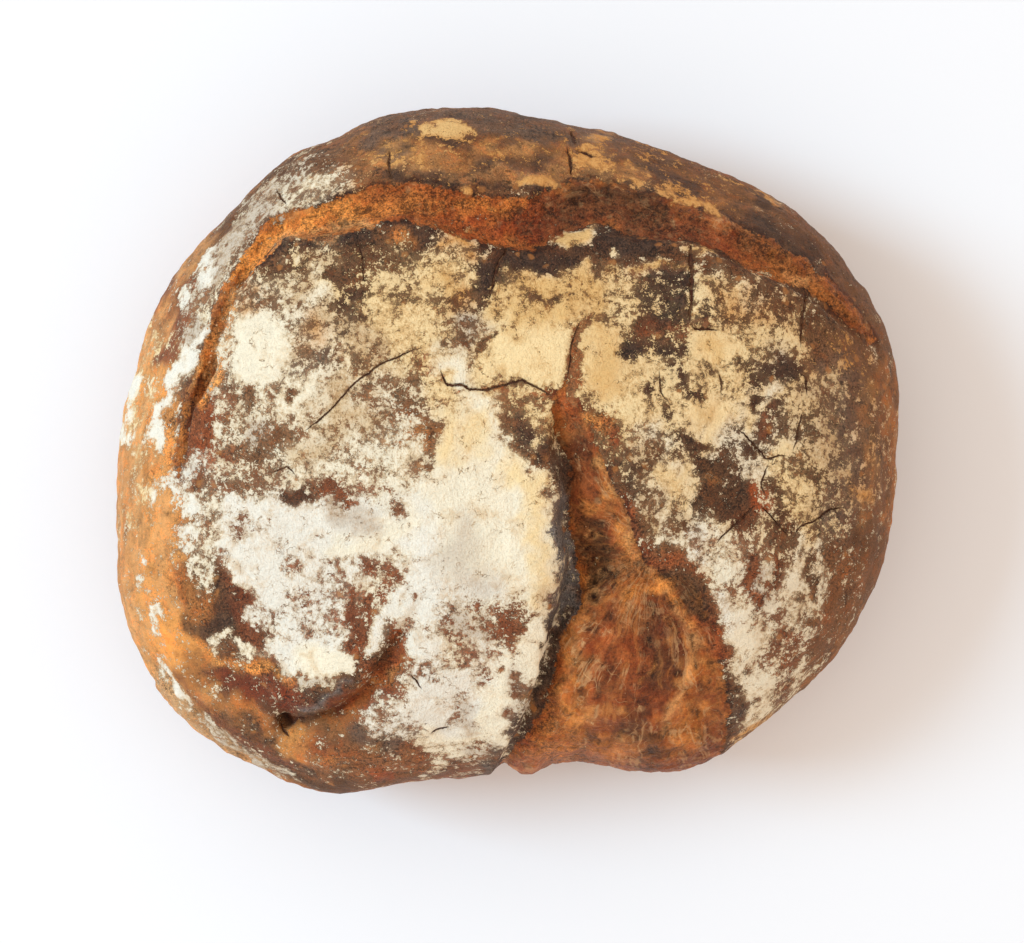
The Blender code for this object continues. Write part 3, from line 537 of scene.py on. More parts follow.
# Strokes of flour: tone, how much lies there, softness, then the dabs. Bare leaves the tone.
FLOUR_STROKES = (
    # Dust over the whole cap and the far left shoulder
    ("ash", 0.42, 4, (-95, 34, 4), (-86, 52, 6), (-76, 67, 7), (-58, 80)),
    ("butter", 0.4, 6, (-40, 40, 20), (0, 30, 24), (50, 20, 30), (74, 0, 22), (74, -30, 20)),
    ("toast", 0.12, 3, (-44, 78, 6), (-10, 80), (20, 79), (50, 70), (76, 60)),
    ("cream", 0.6, 6, (-66, 44, 12), (-60, 25, 14), (-55, 0, 18), (-38, 14, 12)),
    ("butter", 0.34, 4, (-66, 55, 5), (-44, 56, 7)), ("butter", 0.6, 6, (-32, 42, 10), (-18, 35, 9)),
    ("butter", 0.5, 5, (-24, 56, 6), (-12, 50, 8)), ("straw", 0.56, 6, (8, 46, 8), (26, 46)),
    ("butter", 0.76, 6, (-8, 27, 7), (10, 30, 11), (24, 28, 9)),
    ("butter", 0.5, 6, (66, 42, 8), (80, 34, 10), (86, 20, 9), (86, 0, 10), (84, -20)),
    ("butter", 0.6, 6, (60, 26, 9), (46, 16, 8), (48, 0, 10), (52, -16, 9)),
    ("cream", 0.54, 6, (66, 6, 10), (70, -12, 9)),
    ("cream", 0.55, 6, (58, -30, 7), (76, -38, 12), (78, -58, 11), (76, -72, 7)),
    ("toast", 0.36, 5, (98, 32, 7), (107, 12, 4), (106, -12)),
    ("ash", 0.1, 4, (-90, -6, 6), (-90, 8), (-86, 20, 5), (-84, 32, 3)),
    ("white", 0.72, 5, (-84, -20, 6), (-60, -26, 12), (-62, -48), (-40, -22, 10)),
    ("cream", 0.76, 5, (-24, -30, 10), (-14, -20, 14), (-8, -40, 12), (-18, -56, 10)),
    ("white", 0.68, 5, (-26, -72, 8), (-12, -78, 10), (-2, -66, 6)),
    # Bare and speckled zones of the cap
    ("bare", 0.28, 2.5, (-71, 54, 4), (-60, 57, 5), (-46, 57), (-36, 58, 3)),
    ("bare", 0.22, 1.4, (-45, 46, 3.6), (-48, 41, 2.4)),
    ("bare", 0.25, 1.2, (-49, 34, 2.6), (-42, 37, 2.4)),
    ("bare", 0, 0.8, (-36, 83, 1.2), (-16, 80.6, 1), (0, 77.6, 0.8), (15, 79, 1.4), (30, 79.8, 1.6),
     (42, 76.4, 1.4), (52, 72.8)), ("bare", 0.25, 1, (-68, 42, 1.8), (-61, 42.5)),
    ("cream", 0.56, 2.5, (-61, 31, 3), (-54, 36, 4)),
    ("bare", 0.4, 1.2, (-64, 26, 1.6), (-56, 28, 1.8), (-50, 26, 1.6)),
    ("bare", 0.4, 3, (-44, 18, 4), (-34, 21, 5), (-26, 14, 4), (-38, 10, 3), (), (-78, 47, 4),
     (-66, 36, 2.4)), ("bare", 0.3, 2, (-77, 8, 3.4), (-70, 2), (-64, 5, 2.4)),
    ("bare", 0.42, 3, (-20, 44, 5), (-12, 37), (-24, 60, 4)),
    ("bare", 0.62, 4, (-76, -24, 5), (-64, -30), (-36, -28)),
    # Far left shoulder
    ("bare", 0.05, 2.5, (-105, 37, 3), (-100, 48, 2.4), (-94, 60), (-88, 67, 2)),
    ("white", 0.75, 1, (-96, 46.5, 1.4), (-95.6, 44, 1.2)), ("ash", 0.55, 2, (-95, 34, 2.4), (-89, 41)),
    ("white", 0.95, 1, (-87, 36, 1.1), (-93, 30, 1.5), (-97, 24, 1.8), (-99, 20, 1.3)),
    ("white", 0.85, 1.5, (-90, 52, 2.6), (-88, 58)),
    ("ash", 0.75, 1.2, (-86, 46, 1.4), (-83, 54, 1.8), (-80, 61, 1.6)),
    ("ash", 0.68, 2.4, (-79, 64, 3.4), (-73, 70, 3.8), (-69, 76, 2)),
    ("cream", 0.62, 2, (-65, 75, 2.8), (-56, 79, 3.2), (-47, 81.5, 2.4)),
    ("cream", 0.85, 0.6, (-66, 57, 0.9), (), (-56, 55, 1.1), (), (-62, 56, 0.8)),
    ("cream", 0.72, 1.6, (-68, 44, 1.3), (-60, 45.5, 2), (-53, 47.5, 1.8)),
    ("cream", 0.8, 0.8, (-57, 52, 1.4)), ("toast", 0.5, 2.5, (-77, 46, 3)),
    ("toast", 0.56, 4, (-56, 36, 4)),
    ("cream", 0.84, 1.8, (-75, 37, 4.2), (-70, 31, 5.8), (-73, 23, 3.6), (-74, 15.5, 1)),
    # Far middle
    ("bare", 0.05, 2, (-72, 56, 1.6), (-64, 60.5, 1.8), (-50, 60.5, 2), (-40, 62.5, 2.2),
     (-24, 64.5, 2.4)),
    ("bare", 0, 1.4, (-1.5, 58.5, 2.4), (5, 58.5, 3), (14, 56.5), (24, 58), (34, 61, 4), (46, 60)),
    ("bare", 0.05, 1.6, (-6, 56, 3), (-6, 48, 2), (-8, 42, 0.8)),
    ("bare", 0.24, 2, (42, 50, 3), (50, 47, 4.4), (50, 38), (38, 34, 4)),
    ("toast", 0.24, 4, (-44, 90, 8), (-20, 92, 9), (8, 92), (40, 87), (70, 72, 7)),
    ("bare", 0.08, 1.5, (-38, 93.5, 2.6), (-22, 98.6, 1.6), (0, 97.6, 2.2), (14, 95.6, 2)),
    ("straw", 0.9, 0.7, (-24, 94.2, 1.5), (-17, 95.2, 2.1), (-10, 94.6, 1.3)),
    ("straw", 0.7, 0.6, (-4, 92.6, 0.9)), ("toast", 0.85, 0.7, (-29, 95.5, 1.5)),
    ("toast", 0.5, 1.4, (-41, 87.6, 1.6), (-33, 87, 1.8), (-24, 87.6, 1.6)),
    ("toast", 0.28, 3, (-10, 87, 5), (6, 87, 4)),
    ("toast", 0.8, 0.7, (3, 79, 1.6), (8, 79.6, 2), (12, 79.2, 1.4)),
    ("toast", 0.8, 0.6, (-12, 77.2, 1.7)),
    ("toast", 0.72, 1, (21, 87.6, 1.6), (27, 86.6, 2.4), (31, 85, 1.4)),
    ("toast", 0.76, 0.8, (34, 81.4, 1.5), (39, 79.8, 1.8), (), (45, 77.4, 1.6), (53, 75.2, 2),
     (62, 71.4, 1.6)), ("toast", 0.7, 0.8, (24.5, 92.6, 1), (30, 92, 1.5)),
    ("toast", 0.7, 0.6, (73, 76, 1.2), (79, 73, 1)),
    ("bare", 0, 2, (72, 68, 4), (84, 63, 7), (94, 56, 6), (103, 45, 5)),
    ("straw", 0.74, 1.2, (14, 64, 2), (20, 62.8, 3.4), (25, 64, 2.6)),
    ("butter", 0.8, 0.8, (31.5, 59, 1.3)), ("straw", 0.8, 0.8, (25, 55, 1.4)),
    ("toast", 0.66, 2, (-20, 62, 2.6), (-10, 61, 3)), ("butter", 0.64, 3, (-25, 52, 4), (-16, 53)),
    ("straw", 0.66, 3.5, (1, 50, 3.4), (14, 50, 3.6), (26, 48, 4.6)), ("butter", 0.5, 2.5, (34, 43, 4)),
    ("butter", 0.7, 4, (-35, 40, 6), (-28, 37)), ("toast", 0.4, 3, (-14, 45, 5)),
    ("ash", 0.45, 3, (-12, 35, 6)), ("cream", 0.9, 2, (-16, 26, 3), (-12, 23)),
    ("butter", 0.92, 3, (3, 32, 6.6), (11, 31, 7.4)),
    ("straw", 0.95, 3.5, (25.5, 36, 2.6), (27, 29, 4), (30, 23)),
    ("bare", 0.27, 0.6, (22.5, 40, 0.8), (20.8, 33, 1.6), (20, 27, 2.3), (19, 20, 3)),
    ("bare", 0.3, 0.5, (-18, 20.6, 0.4), (-11, 19, 0.5), (-3, 19.6, 0.4), (4, 21.6, 0.5), (9, 19, 0.8)),
    ("bare", 0.1, 0.6, (9, 19, 0.8), (13, 16.6, 1.6), (15, 14, 2)),
    ("bare", 0.08, 0.7, (21, 13, 2), (26, 10.6, 2.2), (30, 7.4, 1.5), (33.5, 4, 0.7)),
    ("bare", 0.15, 1.4, (35, 29, 3.4)), ("bare", 0.15, 1, (-3, 35, 0.8), (-9, 26)),
    ("bare", 0.4, 2, (4, 46, 2), (10, 44.6, 2.6)), ("bare", 0.2, 0.8, (13, 45, 0.9)),
    # Far right
    ("straw", 0.6, 1.4, (52, 60.5, 1.4), (61, 60, 1.8)),
    ("straw", 0.62, 0.8, (36, 53.6, 1.2), (46, 54.6, 1.5), (56, 54.6, 1.2)),
    ("butter", 0.62, 2.5, (58, 47, 3), (66, 48)), ("toast", 0.44, 5, (66, 43, 4), (78, 42)),
    ("butter", 0.92, 2, (57, 31, 4), (65, 30, 4.6)), ("butter", 0.56, 3, (72, 36, 5), (82, 34)),
    ("ash", 0.35, 3, (80, 25, 5)), ("toast", 0.5, 1.5, (88.5, 24, 2)), ("toast", 0.3, 4, (98, 30, 7)),
    ("butter", 0.86, 1.2, (56, 12, 3.6), (62, 12), (59, 5, 3), (59, -1, 0.8)),
    ("butter", 0.6, 3, (46, 22, 5), (64, 20)), ("cream", 0.72, 1.6, (79, 17, 2.4), (82, 17)),
    ("cream", 0.74, 1.6, (71, -3, 2.4), (76, -5, 2.2)),
    ("cream", 0.62, 3, (43, 5, 5), (46, -10, 6), (54, -20)),
    ("cream", 0.6, 2, (41, -8, 2.4), (43, -18, 2.6), (48, -27)),
    ("butter", 0.74, 2, (44, -4, 3), (50, -12, 4), (53, -5, 2.4)),
    ("butter", 0.72, 3, (34, 16, 4), (40, 13, 3)),
    ("butter", 0.54, 3, (88, 20, 5), (89, 0, 6), (85, -10, 5)), ("cream", 0.38, 4, (66, 0, 5), (82, 5)),
    ("bare", 0.1, 1.6, (51, 5, 2), (57, 0, 2.2), (62, -5, 2.4), (66, -8, 2)),
    ("bare", 0.15, 1.8, (60, -13, 4), (67, -14), (74, -13, 3)),
    ("bare", 0.2, 1.2, (45, 31, 2.4), (51, 31, 2), (), (73, 19, 2.8), (73.5, 15, 1.8), (), (79, 11, 2.4),
     (77, 6), (), (39, -3, 2.2), (38, -10, 2)),
    ("bare", 0.2, 1, (49, 24, 1.8), (51, 21), (), (54, 18, 1.4), (56, 15.5), (), (48, 12.5, 1.8)),
    ("bare", 0.2, 0.8, (42, 18.5, 1.4)), ("bare", 0.25, 0.8, (58, 23, 1)),
    ("bare", 0.2, 1.4, (78, 25, 3), (83, 24, 2.6)), ("white", 0.6, 2, (56, -25, 4), (55, -31, 3)),
    ("cream", 0.68, 1.4, (63, -26, 1.8), (63, -36, 2), (60, -40, 1.6)),
    ("cream", 0.66, 1.4, (85, -25, 2.4), (86, -36, 2.8), (86, -48, 2.6)),
    ("cream", 0.58, 1.4, (92, -28, 1.8), (93, -40, 2), (92, -46, 1.4)),
    ("toast", 0.6, 1.6, (99, -9, 2.4), (105, -15, 2)),
    ("oat", 0.45, 3, (94, 18, 5), (92, 5, 6), (94, -12, 5)),
    ("ash", 0.6, 1.6, (73, -33, 2.4), (75, -42, 2.6)), ("white", 0.68, 1.6, (64, -44, 2.6), (67, -49, 3)),
    ("cream", 0.86, 1.8, (70, -50, 3), (72, -56, 4.6), (70, -61, 2.4)),
    ("cream", 0.76, 1.6, (71, -69, 3), (76, -70, 2.4), (75, -74, 1.6)),
    ("cream", 0.75, 1, (71, -77, 1.8), (73, -80, 1.4)),
    ("butter", 0.42, 6, (70, -95, 4), (83, -87, 6), (96, -74, 5)),
    ("toast", 0.7, 0.8, (67, -85, 1.2), (72, -81.5), (76, -78.5, 1)),
    ("cream", 0.7, 1, (84.5, -60, 1.2), (86, -66), (), (80, -71.5, 1.2), (84, -68), (), (88, -54, 1.4),
     (83, -52)), ("bare", 0.1, 1, (71.5, -31, 1), (73, -44, 1.2), (), (78.5, -28, 1), (78.5, -38)),
    ("bare", 0.15, 1, (89, -34, 1), (90, -42)),
    ("bare", 0, 1.4, (42, -30, 1), (47, -34, 2.4), (52, -40, 3.6), (57, -47, 3.2), (61, -56, 2.4)),
    # Middle left
    ("cream", 0.62, 4, (-56, 2, 7), (-42, 0, 9)),
    ("cream", 0.84, 1.6, (-66, 14, 3.4), (-62, 18, 3.8), (-57, 21, 3)),
    ("bare", 0.1, 0.8, (-64, 18, 0.9), (-66, 15, 0.8)), ("ash", 0.5, 2, (-74, 6, 3.6)),
    ("white", 0.6, 1.6, (-83, 6, 2.6)), ("white", 0.85, 0.6, (-91, 5, 0.7)),
    ("white", 0.62, 1.6, (-89, -4, 2.6)), ("white", 0.85, 0.5, (-97, 6, 0.7)),
    ("butter", 0.42, 2.5, (-110, -20, 3), (-109, 0, 4), (-109, 20), (-103, 34, 3)),
    ("white", 0.95, 1, (-109, 21, 2.6), (-110, 17, 2)), ("white", 0.8, 0.8, (-112, 13, 1.2), (-113, 3)),
    ("white", 0.92, 1, (-99, 18, 1.4), (-102, 11, 2), (-101, 8.5, 1.6)),
    ("white", 0.9, 0.8, (-103, 6, 1.4), (-103, 2, 1.2)),
    ("white", 0.7, 0.5, (-99, -5, 0.5), (-104, -10, 0.6), (-104.5, -16)),
    # Broad white field of the near left cap
    ("white", 0.84, 2, (-92, -16, 4), (-76, -17), (-60, -17, 3.6), (), (-88, -23, 4), (-76, -30, 6),
     (-66, -36, 10), (-58, -28, 8), (), (-56, -20, 5), (-40, -20, 6), (-30, -22, 5), (), (-55, -45, 7),
     (-56, -55), (-62, -60, 5)),
    ("cream", 0.98, 1, (-60, -61, 3.4), (-54, -61, 4.4), (-49, -62, 3.4), (-46.5, -64.5, 1.4)),
    ("white", 0.84, 3, (-24, -20, 8), (-22, -34, 9), (-26, -50, 5), (-24, -58, 4)),
    ("cream", 0.9, 2, (-8, 14, 5), (-10, 2, 9), (-12, -12, 13), (-8, -24, 14), (-4, -34, 12)),
    ("cream", 0.92, 1.4, (1, -6, 5), (4, -14, 6), (8, -22, 5.4), (9.5, -32, 5), (9.5, -42, 3.6)),
    ("white", 0.78, 3, (-18, -44, 4), (-8, -40, 5)),
    ("bare", 0.15, 1.6, (4, 10, 1.6), (5, 6, 3), (9.5, 0, 2.6), (10, -4, 1.8)),
    ("bare", 0.3, 0.8, (-12, 2, 0.9), (), (-20, -29, 0.9), (), (-64, -42.5, 1.3), (), (-52, -46, 0.9),
     (-52.5, -48, 0.8)), ("bare", 0.3, 1, (-9, -20, 1.1), (-10, -22, 0.9)),
    ("bare", 0.3, 0.7, (8, -14, 0.8)), ("bare", 0.35, 2, (-28, 20, 4), (-24, 12)),
    ("bare", 0.3, 1.5, (-29, 4, 2.4), (-28, -5, 2), (), (-34, -10, 2), (-32, -17, 1.6)),
    ("bare", 0.4, 1.4, (-78, -22, 3)), ("bare", 0.25, 0.8, (-84, -28.5, 1.2)),
    ("bare", 0.45, 1.2, (-63, -33, 2.4)),
    ("bare", 0.35, 1.6, (-48, -36, 2), (-46, -41, 2.4), (), (-41, -29, 1.8), (-39, -34, 2)),
    ("bare", 0.2, 0.8, (-58.5, -44, 1.2), (-58.5, -46)),
    ("bare", 0.3, 0.6, (-60, -51, 0.5), (-57.5, -54.5), (-55.5, -51)),
    ("bare", 0.1, 1.4, (-45, -43, 1.8), (-46, -48, 3), (-44, -56, 2), (-42, -62)),
    ("bare", 0.4, 1.6, (-38, -40, 2.4), (-36, -36, 1.6)),
    ("bare", 0.3, 1, (-32, -38, 1.4), (-27, -42, 1)),
    ("white", 0.84, 1.2, (-31, -42.5, 2), (-35, -48, 2.2), (-39, -54, 2), (-42, -57.5, 1)),
    ("white", 0.85, 0.9, (-28, -45, 1), (-22, -44, 1.6)),
    ("bare", 0, 1.6, (-90, -38, 5.4), (-86, -44, 6.4), (-90, -50, 4), (-79, -48, 5), (-74, -53, 4.6)),
    ("white", 0.8, 0.6, (-92.5, -32.5, 0.7), (), (-87, -33.5, 0.8)),
    ("white", 0.84, 1.2, (-78, -35, 2.6), (-73.5, -42, 3), (-70, -49, 2.6)),
    ("bare", 0, 0.6, (-82, -44, 2.2), (-79, -48.4), (-74.4, -53, 2)),
    ("cream", 0.76, 1.4, (-82.5, -52.4, 1.8), (-86, -54, 1.9), (-88, -56.5, 1.4)),
    ("cream", 0.76, 1.2, (-78, -56, 1.4), (-75, -58.6, 1.7), (-70.5, -60.5, 1.8)),
    ("ash", 0.7, 1.2, (-60, -68.5, 1.6), (-55, -67.6), (-51, -68.6, 1)),
    ("bare", 0.55, 4, (-50, -34, 5), (-56, -48, 6)),
    # Near lobe
    ("bare", 0.46, 4, (-16, -50, 6), (-4, -52, 7), (-12, -60, 6)),
    ("ash", 0.62, 2, (-15, -48, 4), (-8, -54, 3.6)),
    ("bare", 0.25, 1.8, (-1, -48, 3.6), (1, -51, 3.4), (-4, -54, 2.4)),
    ("bare", 0.35, 1.4, (-8, -58, 2), (-14, -61.5, 1.6), (-20, -65, 1.4)),
    ("bare", 0.4, 1.4, (-17, -47, 3), (-15, -53, 2)), ("bare", 0.35, 1.2, (-7, -44.5, 2)),
    ("cream", 0.97, 1, (11.2, -46, 0.8), (9, -52, 1.8), (6.5, -58, 3), (6, -64, 2.6)),
    ("cream", 0.95, 1.6, (0, -61, 2.4), (-2, -70, 3.6), (-4, -78, 4.4)),
    ("white", 0.84, 2, (-24, -62, 4), (-25, -74, 6), (-14, -70), (-14, -78, 7), (-30, -76, 4)),
    ("cream", 0.9, 1.6, (-24, -84, 3), (-14, -85), (-4, -82, 2.4), (-3, -88, 1.8)),
    ("bare", 0.2, 0.8, (-2, -65.6, 1.4)), ("bare", 0.3, 0.7, (-6.5, -66, 1), (-7, -69, 0.8)),
    ("bare", 0.35, 1, (-25, -66, 1.6), (-22, -67, 1.2)), ("bare", 0.4, 1.6, (-13, -76, 2.6)),
    ("bare", 0.35, 1.4, (-18, -89, 2), (-8, -86.5, 1.4)), ("ash", 0.6, 2, (-15, -90, 2.6), (-6, -91, 2)),
    ("ash", 0.45, 2, (4, -70, 2), (3, -76, 2.4)), ("ash", 0.35, 2, (-38, -80, 3), (-32, -84, 2)),
    # Near left rim
    ("white", 0.9, 0.6, (-107, -31.5, 1.1), (), (-104.6, -45.5, 0.7), (-103.8, -49, 0.8)),
    ("white", 0.8, 0.5, (-108.6, -35, 0.5), (-108.2, -39)), ("white", 0.85, 0.5, (-106, -40, 0.7)),
    ("white", 0.9, 0.7, (-106, -51.5, 1), (-104, -53, 1.1)),
    ("white", 0.85, 0.5, (-102.2, -54.5, 0.5), (-101.4, -57.5)),
    ("white", 0.9, 0.8, (-104, -60, 0.9), (-101, -66, 1.5), (-97, -72), (-93, -76, 1)),
    ("ash", 0.74, 0.8, (-90, -79, 1), (-83, -85, 1.2), (-75, -90.4, 1.4), (-67, -94, 1.5),
     (-61, -96.4, 0.8)), ("white", 0.7, 1, (-24, -96, 1.6)),
    # Fuller places of the left half
    ("white", 0.74, 1.5, (-98, -11, 2.6)), ("white", 0.84, 1.6, (-93, -25, 3.4), (-88, -29, 3)),
    ("white", 0.8, 1.2, (-79, -36, 2.8)),
    ("cream", 0.92, 1.4, (-78, 38, 3.4), (-78.5, 31, 3.6), (-79, 21, 3.4)),
    ("cream", 0.46, 2.5, (-80, -8, 4), (-80, 1, 3), (-79, 11)), ("cream", 0.75, 1, (-89.5, 41, 2)),
    ("oat", 0.6, 2, (-51, 39, 3.2), (-40, 31, 4.5)), ("oat", 0.44, 2, (-60, 58, 3), (-50, 59)),
    ("straw", 0.76, 2, (-20, 51, 4)), ("butter", 0.92, 2, (-19, 0, 3.6), (-17, 8, 3)),
    ("butter", 0.66, 2, (-21, 11, 3), (-19, 21)), ("cream", 0.7, 2.5, (-31, 0, 4.6), (-30, -9, 3)),
    ("cream", 0.92, 2, (-30, -20, 3.6), (-50, -29)), ("cream", 0.6, 2, (-40, -41, 3.4)),
    ("white", 0.92, 1.6, (-28.5, -60, 3.2), (-20, -60, 3.4)), ("white", 0.62, 2, (-10, -60, 3.4)),
    ("white", 0.66, 2, (-40, -78.5, 3), (-32, -80, 3.6)), ("cream", 0.62, 2, (-20, -89, 3)),
    ("cream", 0.97, 0.8, (10, -50, 2.4), (8, -56, 2.6), (7, -62, 2.4)), ("cream", 0.6, 1, (7, -69, 2)),
    # Yellower and duller tones of the left half
    ("oat", 0.56, 3, (-58, 12, 2), (-50, 10, 4), (-41, 10, 3.4)),
    ("oat", 0.62, 3, (-62, 0, 3), (-52, 3), (-50, 20)), ("oat", 0.5, 2, (-67, 42, 2), (-60, 49, 2.6)),
    ("butter", 0.76, 3, (-10, 11, 3), (-10, 2, 4)),
    ("butter", 0.95, 2, (2, -5, 3.6), (8, -13, 3.4), (10, -24, 3), (10, -34, 2.6), (9, -42, 2)),
    ("butter", 0.95, 1, (9.5, -9, 2.6)), ("ash", 0.9, 5, (-14, -22, 3.4), (-17, -31), (-7, -38, 3)),
    ("ash", 0.78, 2, (-10, -79, 3.6)), ("ash", 0.76, 2, (-50, -19, 2.6), (-40, -20)),
    ("oat", 0.8, 1.2, (10.5, -40, 2.2)),
    # Thinner places of the left half
    ("bare", 0.2, 1.4, (-64, -13, 2), (-57, -12.5, 3), (-47, -13.5, 2.8)),
    ("bare", 0.26, 2.5, (-30, 11, 3.4), (-31, 19, 4)),
    ("bare", 0.4, 2, (-71, -50, 3.4), (), (-20, 60.4, 2.4)),
    ("bare", 0.2, 1, (-82, -61.5, 2), (-74, -63.5, 1.6)), ("bare", 0.1, 1.2, (-39.5, -62, 2.4)),
    ("bare", 0.36, 3, (-52, 81, 3.6)), ("bare", 0.4, 2.4, (-30, 50, 3.2)),
    ("bare", 0.05, 1.2, (20, 58.4, 3.4)), ("bare", 0.1, 2, (-31, 91, 3)),
    # Fuller places of the right half
    ("straw", 0.74, 2, (10, 52, 3)), ("straw", 0.64, 2.5, (0, 40, 3.4), (10, 40)),
    ("straw", 0.86, 1.4, (16, 42, 2.4)), ("straw", 0.98, 1.6, (29, 20, 3.4)),
    ("butter", 0.86, 1.6, (8, 22, 3)), ("butter", 0.56, 1.2, (9, 11, 2.2), (8.6, 1, 1.4)),
    ("butter", 0.72, 2, (70, 10, 3.4), (), (82, 0, 3.4)), ("cream", 0.78, 1.6, (70, -69, 3.2)),
    # Thinner places of the right half
    ("bare", 0, 1.2, (20, 79.6, 2.4), (31, 79.4, 2.2)), ("bare", 0.3, 3, (80, 41, 3.6)),
    ("bare", 0.3, 1.6, (50, 30, 3.2)), ("straw", 0.84, 2, (60, 31, 3)),
    ("oat", 0.38, 2, (42, 0, 3.6), (40, -10, 3.4), (41, -19, 2.6)), ("oat", 0.26, 1.6, (51, -20, 4)),
    ("bare", 0, 1.4, (69, -18, 5)), ("bare", 0.28, 2, (71, 20, 3.2)),
    ("bare", 0.26, 1.8, (80, -11, 3), (81, -21, 3.6), (80, -31, 3)), ("bare", 0.4, 2, (91, -11, 3)),
    ("bare", 0.44, 2, (66, -40, 3)), ("bare", 0.32, 2, (82, -50, 2.6), (81, -60, 3), (81, -70)),
    ("cream", 0.44, 2, (60, -40, 2.6)), ("white", 0.62, 2, (-90, -1, 3), (-99, -11)),
    ("cream", 0.5, 1.6, (-90, -40, 2.6), (-80, 50), (-89, 41)),
)

# How much flour lies where no stroke does, and how far past the widest line the foot's flour starts
PLAIN_FLOUR = 0.16
FOOT_FLOUR = 0.45
FOOT_FLOUR_FROM = 42 * MM
# Where the sides turn chestnut and where the rim's own tints come in, past the widest line
SIDE_BROWNING = (8 * MM, 40 * MM)
RIM_TINT_FADE = (-16 * MM, -5 * MM)

# How streaky the surface is: amount, softness, then dabs
STREAK_STROKES = (
    (0.6, 4, ((-106, -62, 8), (-112, -35, 10), (-112, -5, 9), (-106, 25, 8), (-96, 48, 7), (-80, 66, 7))),
    (1.3, 3, ((-66, 76, 5), (-50, 84, 6))),
    (0.95, 3, ((-40, 90, 8), (0, 90, 9), (40, 86, 9), (70, 72, 6))),
    (0.75, 4, ((42, -34, 5), (32, -44, 7), (46, -46, 6))),
    (0.95, 5, ((24, -56, 11), (26, -76, 12), (44, -84, 12), (54, -62, 9), (54, -80, 10))),
    (0.8, 4, ((22, 8, 5), (26, -8, 7), (30, -22, 7))),
    (0.5, 4, ((-66, 56, 5), (-46, 58, 6))),
    (0.7, 3, ((36, 56, 4), (56, 54, 4), (50, 44, 6), (48, 36, 4))),
    (0.6, 6, ((88, -30, 12), (76, -40, 10), (96, -10, 8))),
    (0.8, 3, ((-22, -96, 6), (30, -96, 6), (60, -92, 6), (90, -70, 6))),
)
# How streaky it is elsewhere, and the torn dough on the sides, which starts past the widest line
PLAIN_STREAKS = 0.15
SIDE_STREAKS = 0.7
SIDE_STREAKS_FROM = (8 * MM, 20 * MM)

# Where the baked surface is smooth: how smooth, softness, then dabs
CALM_STROKES = (
    (0.8, 4, ((-108, -62, 5), (-113, -38, 10), (-113, -5, 10), (-108, 22, 8), (-101, 46, 6),
     (-91, 66, 4))),
    (0.6, 5, ((-98, -76, 4), (-84, -90, 4), (-64, -100, 4), (-36, -100, 4), (-8, -98, 4), (20, -98, 4),
     (50, -99, 5), (82, -82, 6), (102, -58, 8), (112, -30, 9), (114, 0, 10), (111, 28, 8),
     (100, 56, 6))),
    (0.55, 4, ((-44, 88, 6), (-16, 90, 8), (10, 90, 8), (38, 85, 7), (66, 73, 6), (88, 59, 6))),
    (0.85, 4, ((-101, -14, 4), (-101, -30, 5), (-101, -44, 5), (-98, -58, 6), (-92, -70, 6))),
    (0.7, 4, ((-84, -72, 5), (-74, -76, 6), (-62, -84, 6), (-44, -78, 5))),
)
# How smooth the sides are, and where that starts past the widest line
SIDE_CALM = 0.6
SIDE_CALM_FROM = (8 * MM, 26 * MM)

# Gluten strands across the left tear: the ends and the sag of each
STRANDS = (
    ((-91.2, 25.4), (-87.4, 26.8), 0.4), ((-91, 27), (-87, 28.6), 0.4),
    ((-90.6, 28.8), (-86.8, 30), 0.4), ((-92.4, 21.4), (-89, 22.8), 0.5),
    ((-88.6, 36.4), (-85.4, 37.6), 0.3),
)
STRAND_SIDES = 8
STRAND_STEPS = 10
# A strand's radius at its ends, and how much thinner its middle is
STRAND_RADIUS = 0.4
STRAND_THINNING = 0.2

# What a colour is multiplied by for a darker or warmer look of it: red, green, blue
CHARRED = (0.36, 0.28, 0.26)
RUSTY = (1.4, 1.02, 0.72)
TORN_WARMTH = (1.02, 0.88, 0.7)
TORN_DARK = (0.5, 0.34, 0.28)
SCORCHED = (0.4, 0.3, 0.27)
THIN_FLOUR = (0.86, 0.75, 0.62)
CRUST_SHINE = 0.22
# How many heights of the finest grain the bump's full height is
GRAIN_BUMP = 3.5

FLOOR_SIDE = 30.0
FLOOR_ROUGHNESS = 0.9
FLOOR_SHINE = 0.1
# Where the large light hangs and what it points at
KEY_PLACE = (-2.5, 0.45, 2.1)
KEY_AIM = (0.05, -0.05, 0)
VIEW_WIDTH_AT_LOAF = 301.6 * MM
SENSOR_WIDTH = 36.0
CAMERA_LENS = SENSOR_WIDTH * (EYE_HEIGHT - WIDEST_HEIGHT) / VIEW_WIDTH_AT_LOAF


def linear(red, green, blue):
    """A colour as it is seen, from 0 to 255, as a scene-linear colour."""
    share = np.array((red, green, blue)) / 255
    return tuple(np.where(share > 0.04045, ((share + 0.055) / 1.055) ** 2.4, share / 12.92).tolist())


def colour_property(name, description, default):
    """A scene-linear colour that a user can change."""
    return FloatVectorProperty(
        name=name, description=description, default=default, size=3,
        subtype="COLOR", min=0, soft_max=1,
    )


def tint_property(name, description, *seen):
    """A colour that a user can change, given as it is seen."""
    return colour_property(name, description, linear(*seen))


def length_property(name, description, millimetres):
    """A length that a user can change."""
    return FloatProperty(name=name, description=description, default=millimetres * MM, unit="LENGTH")


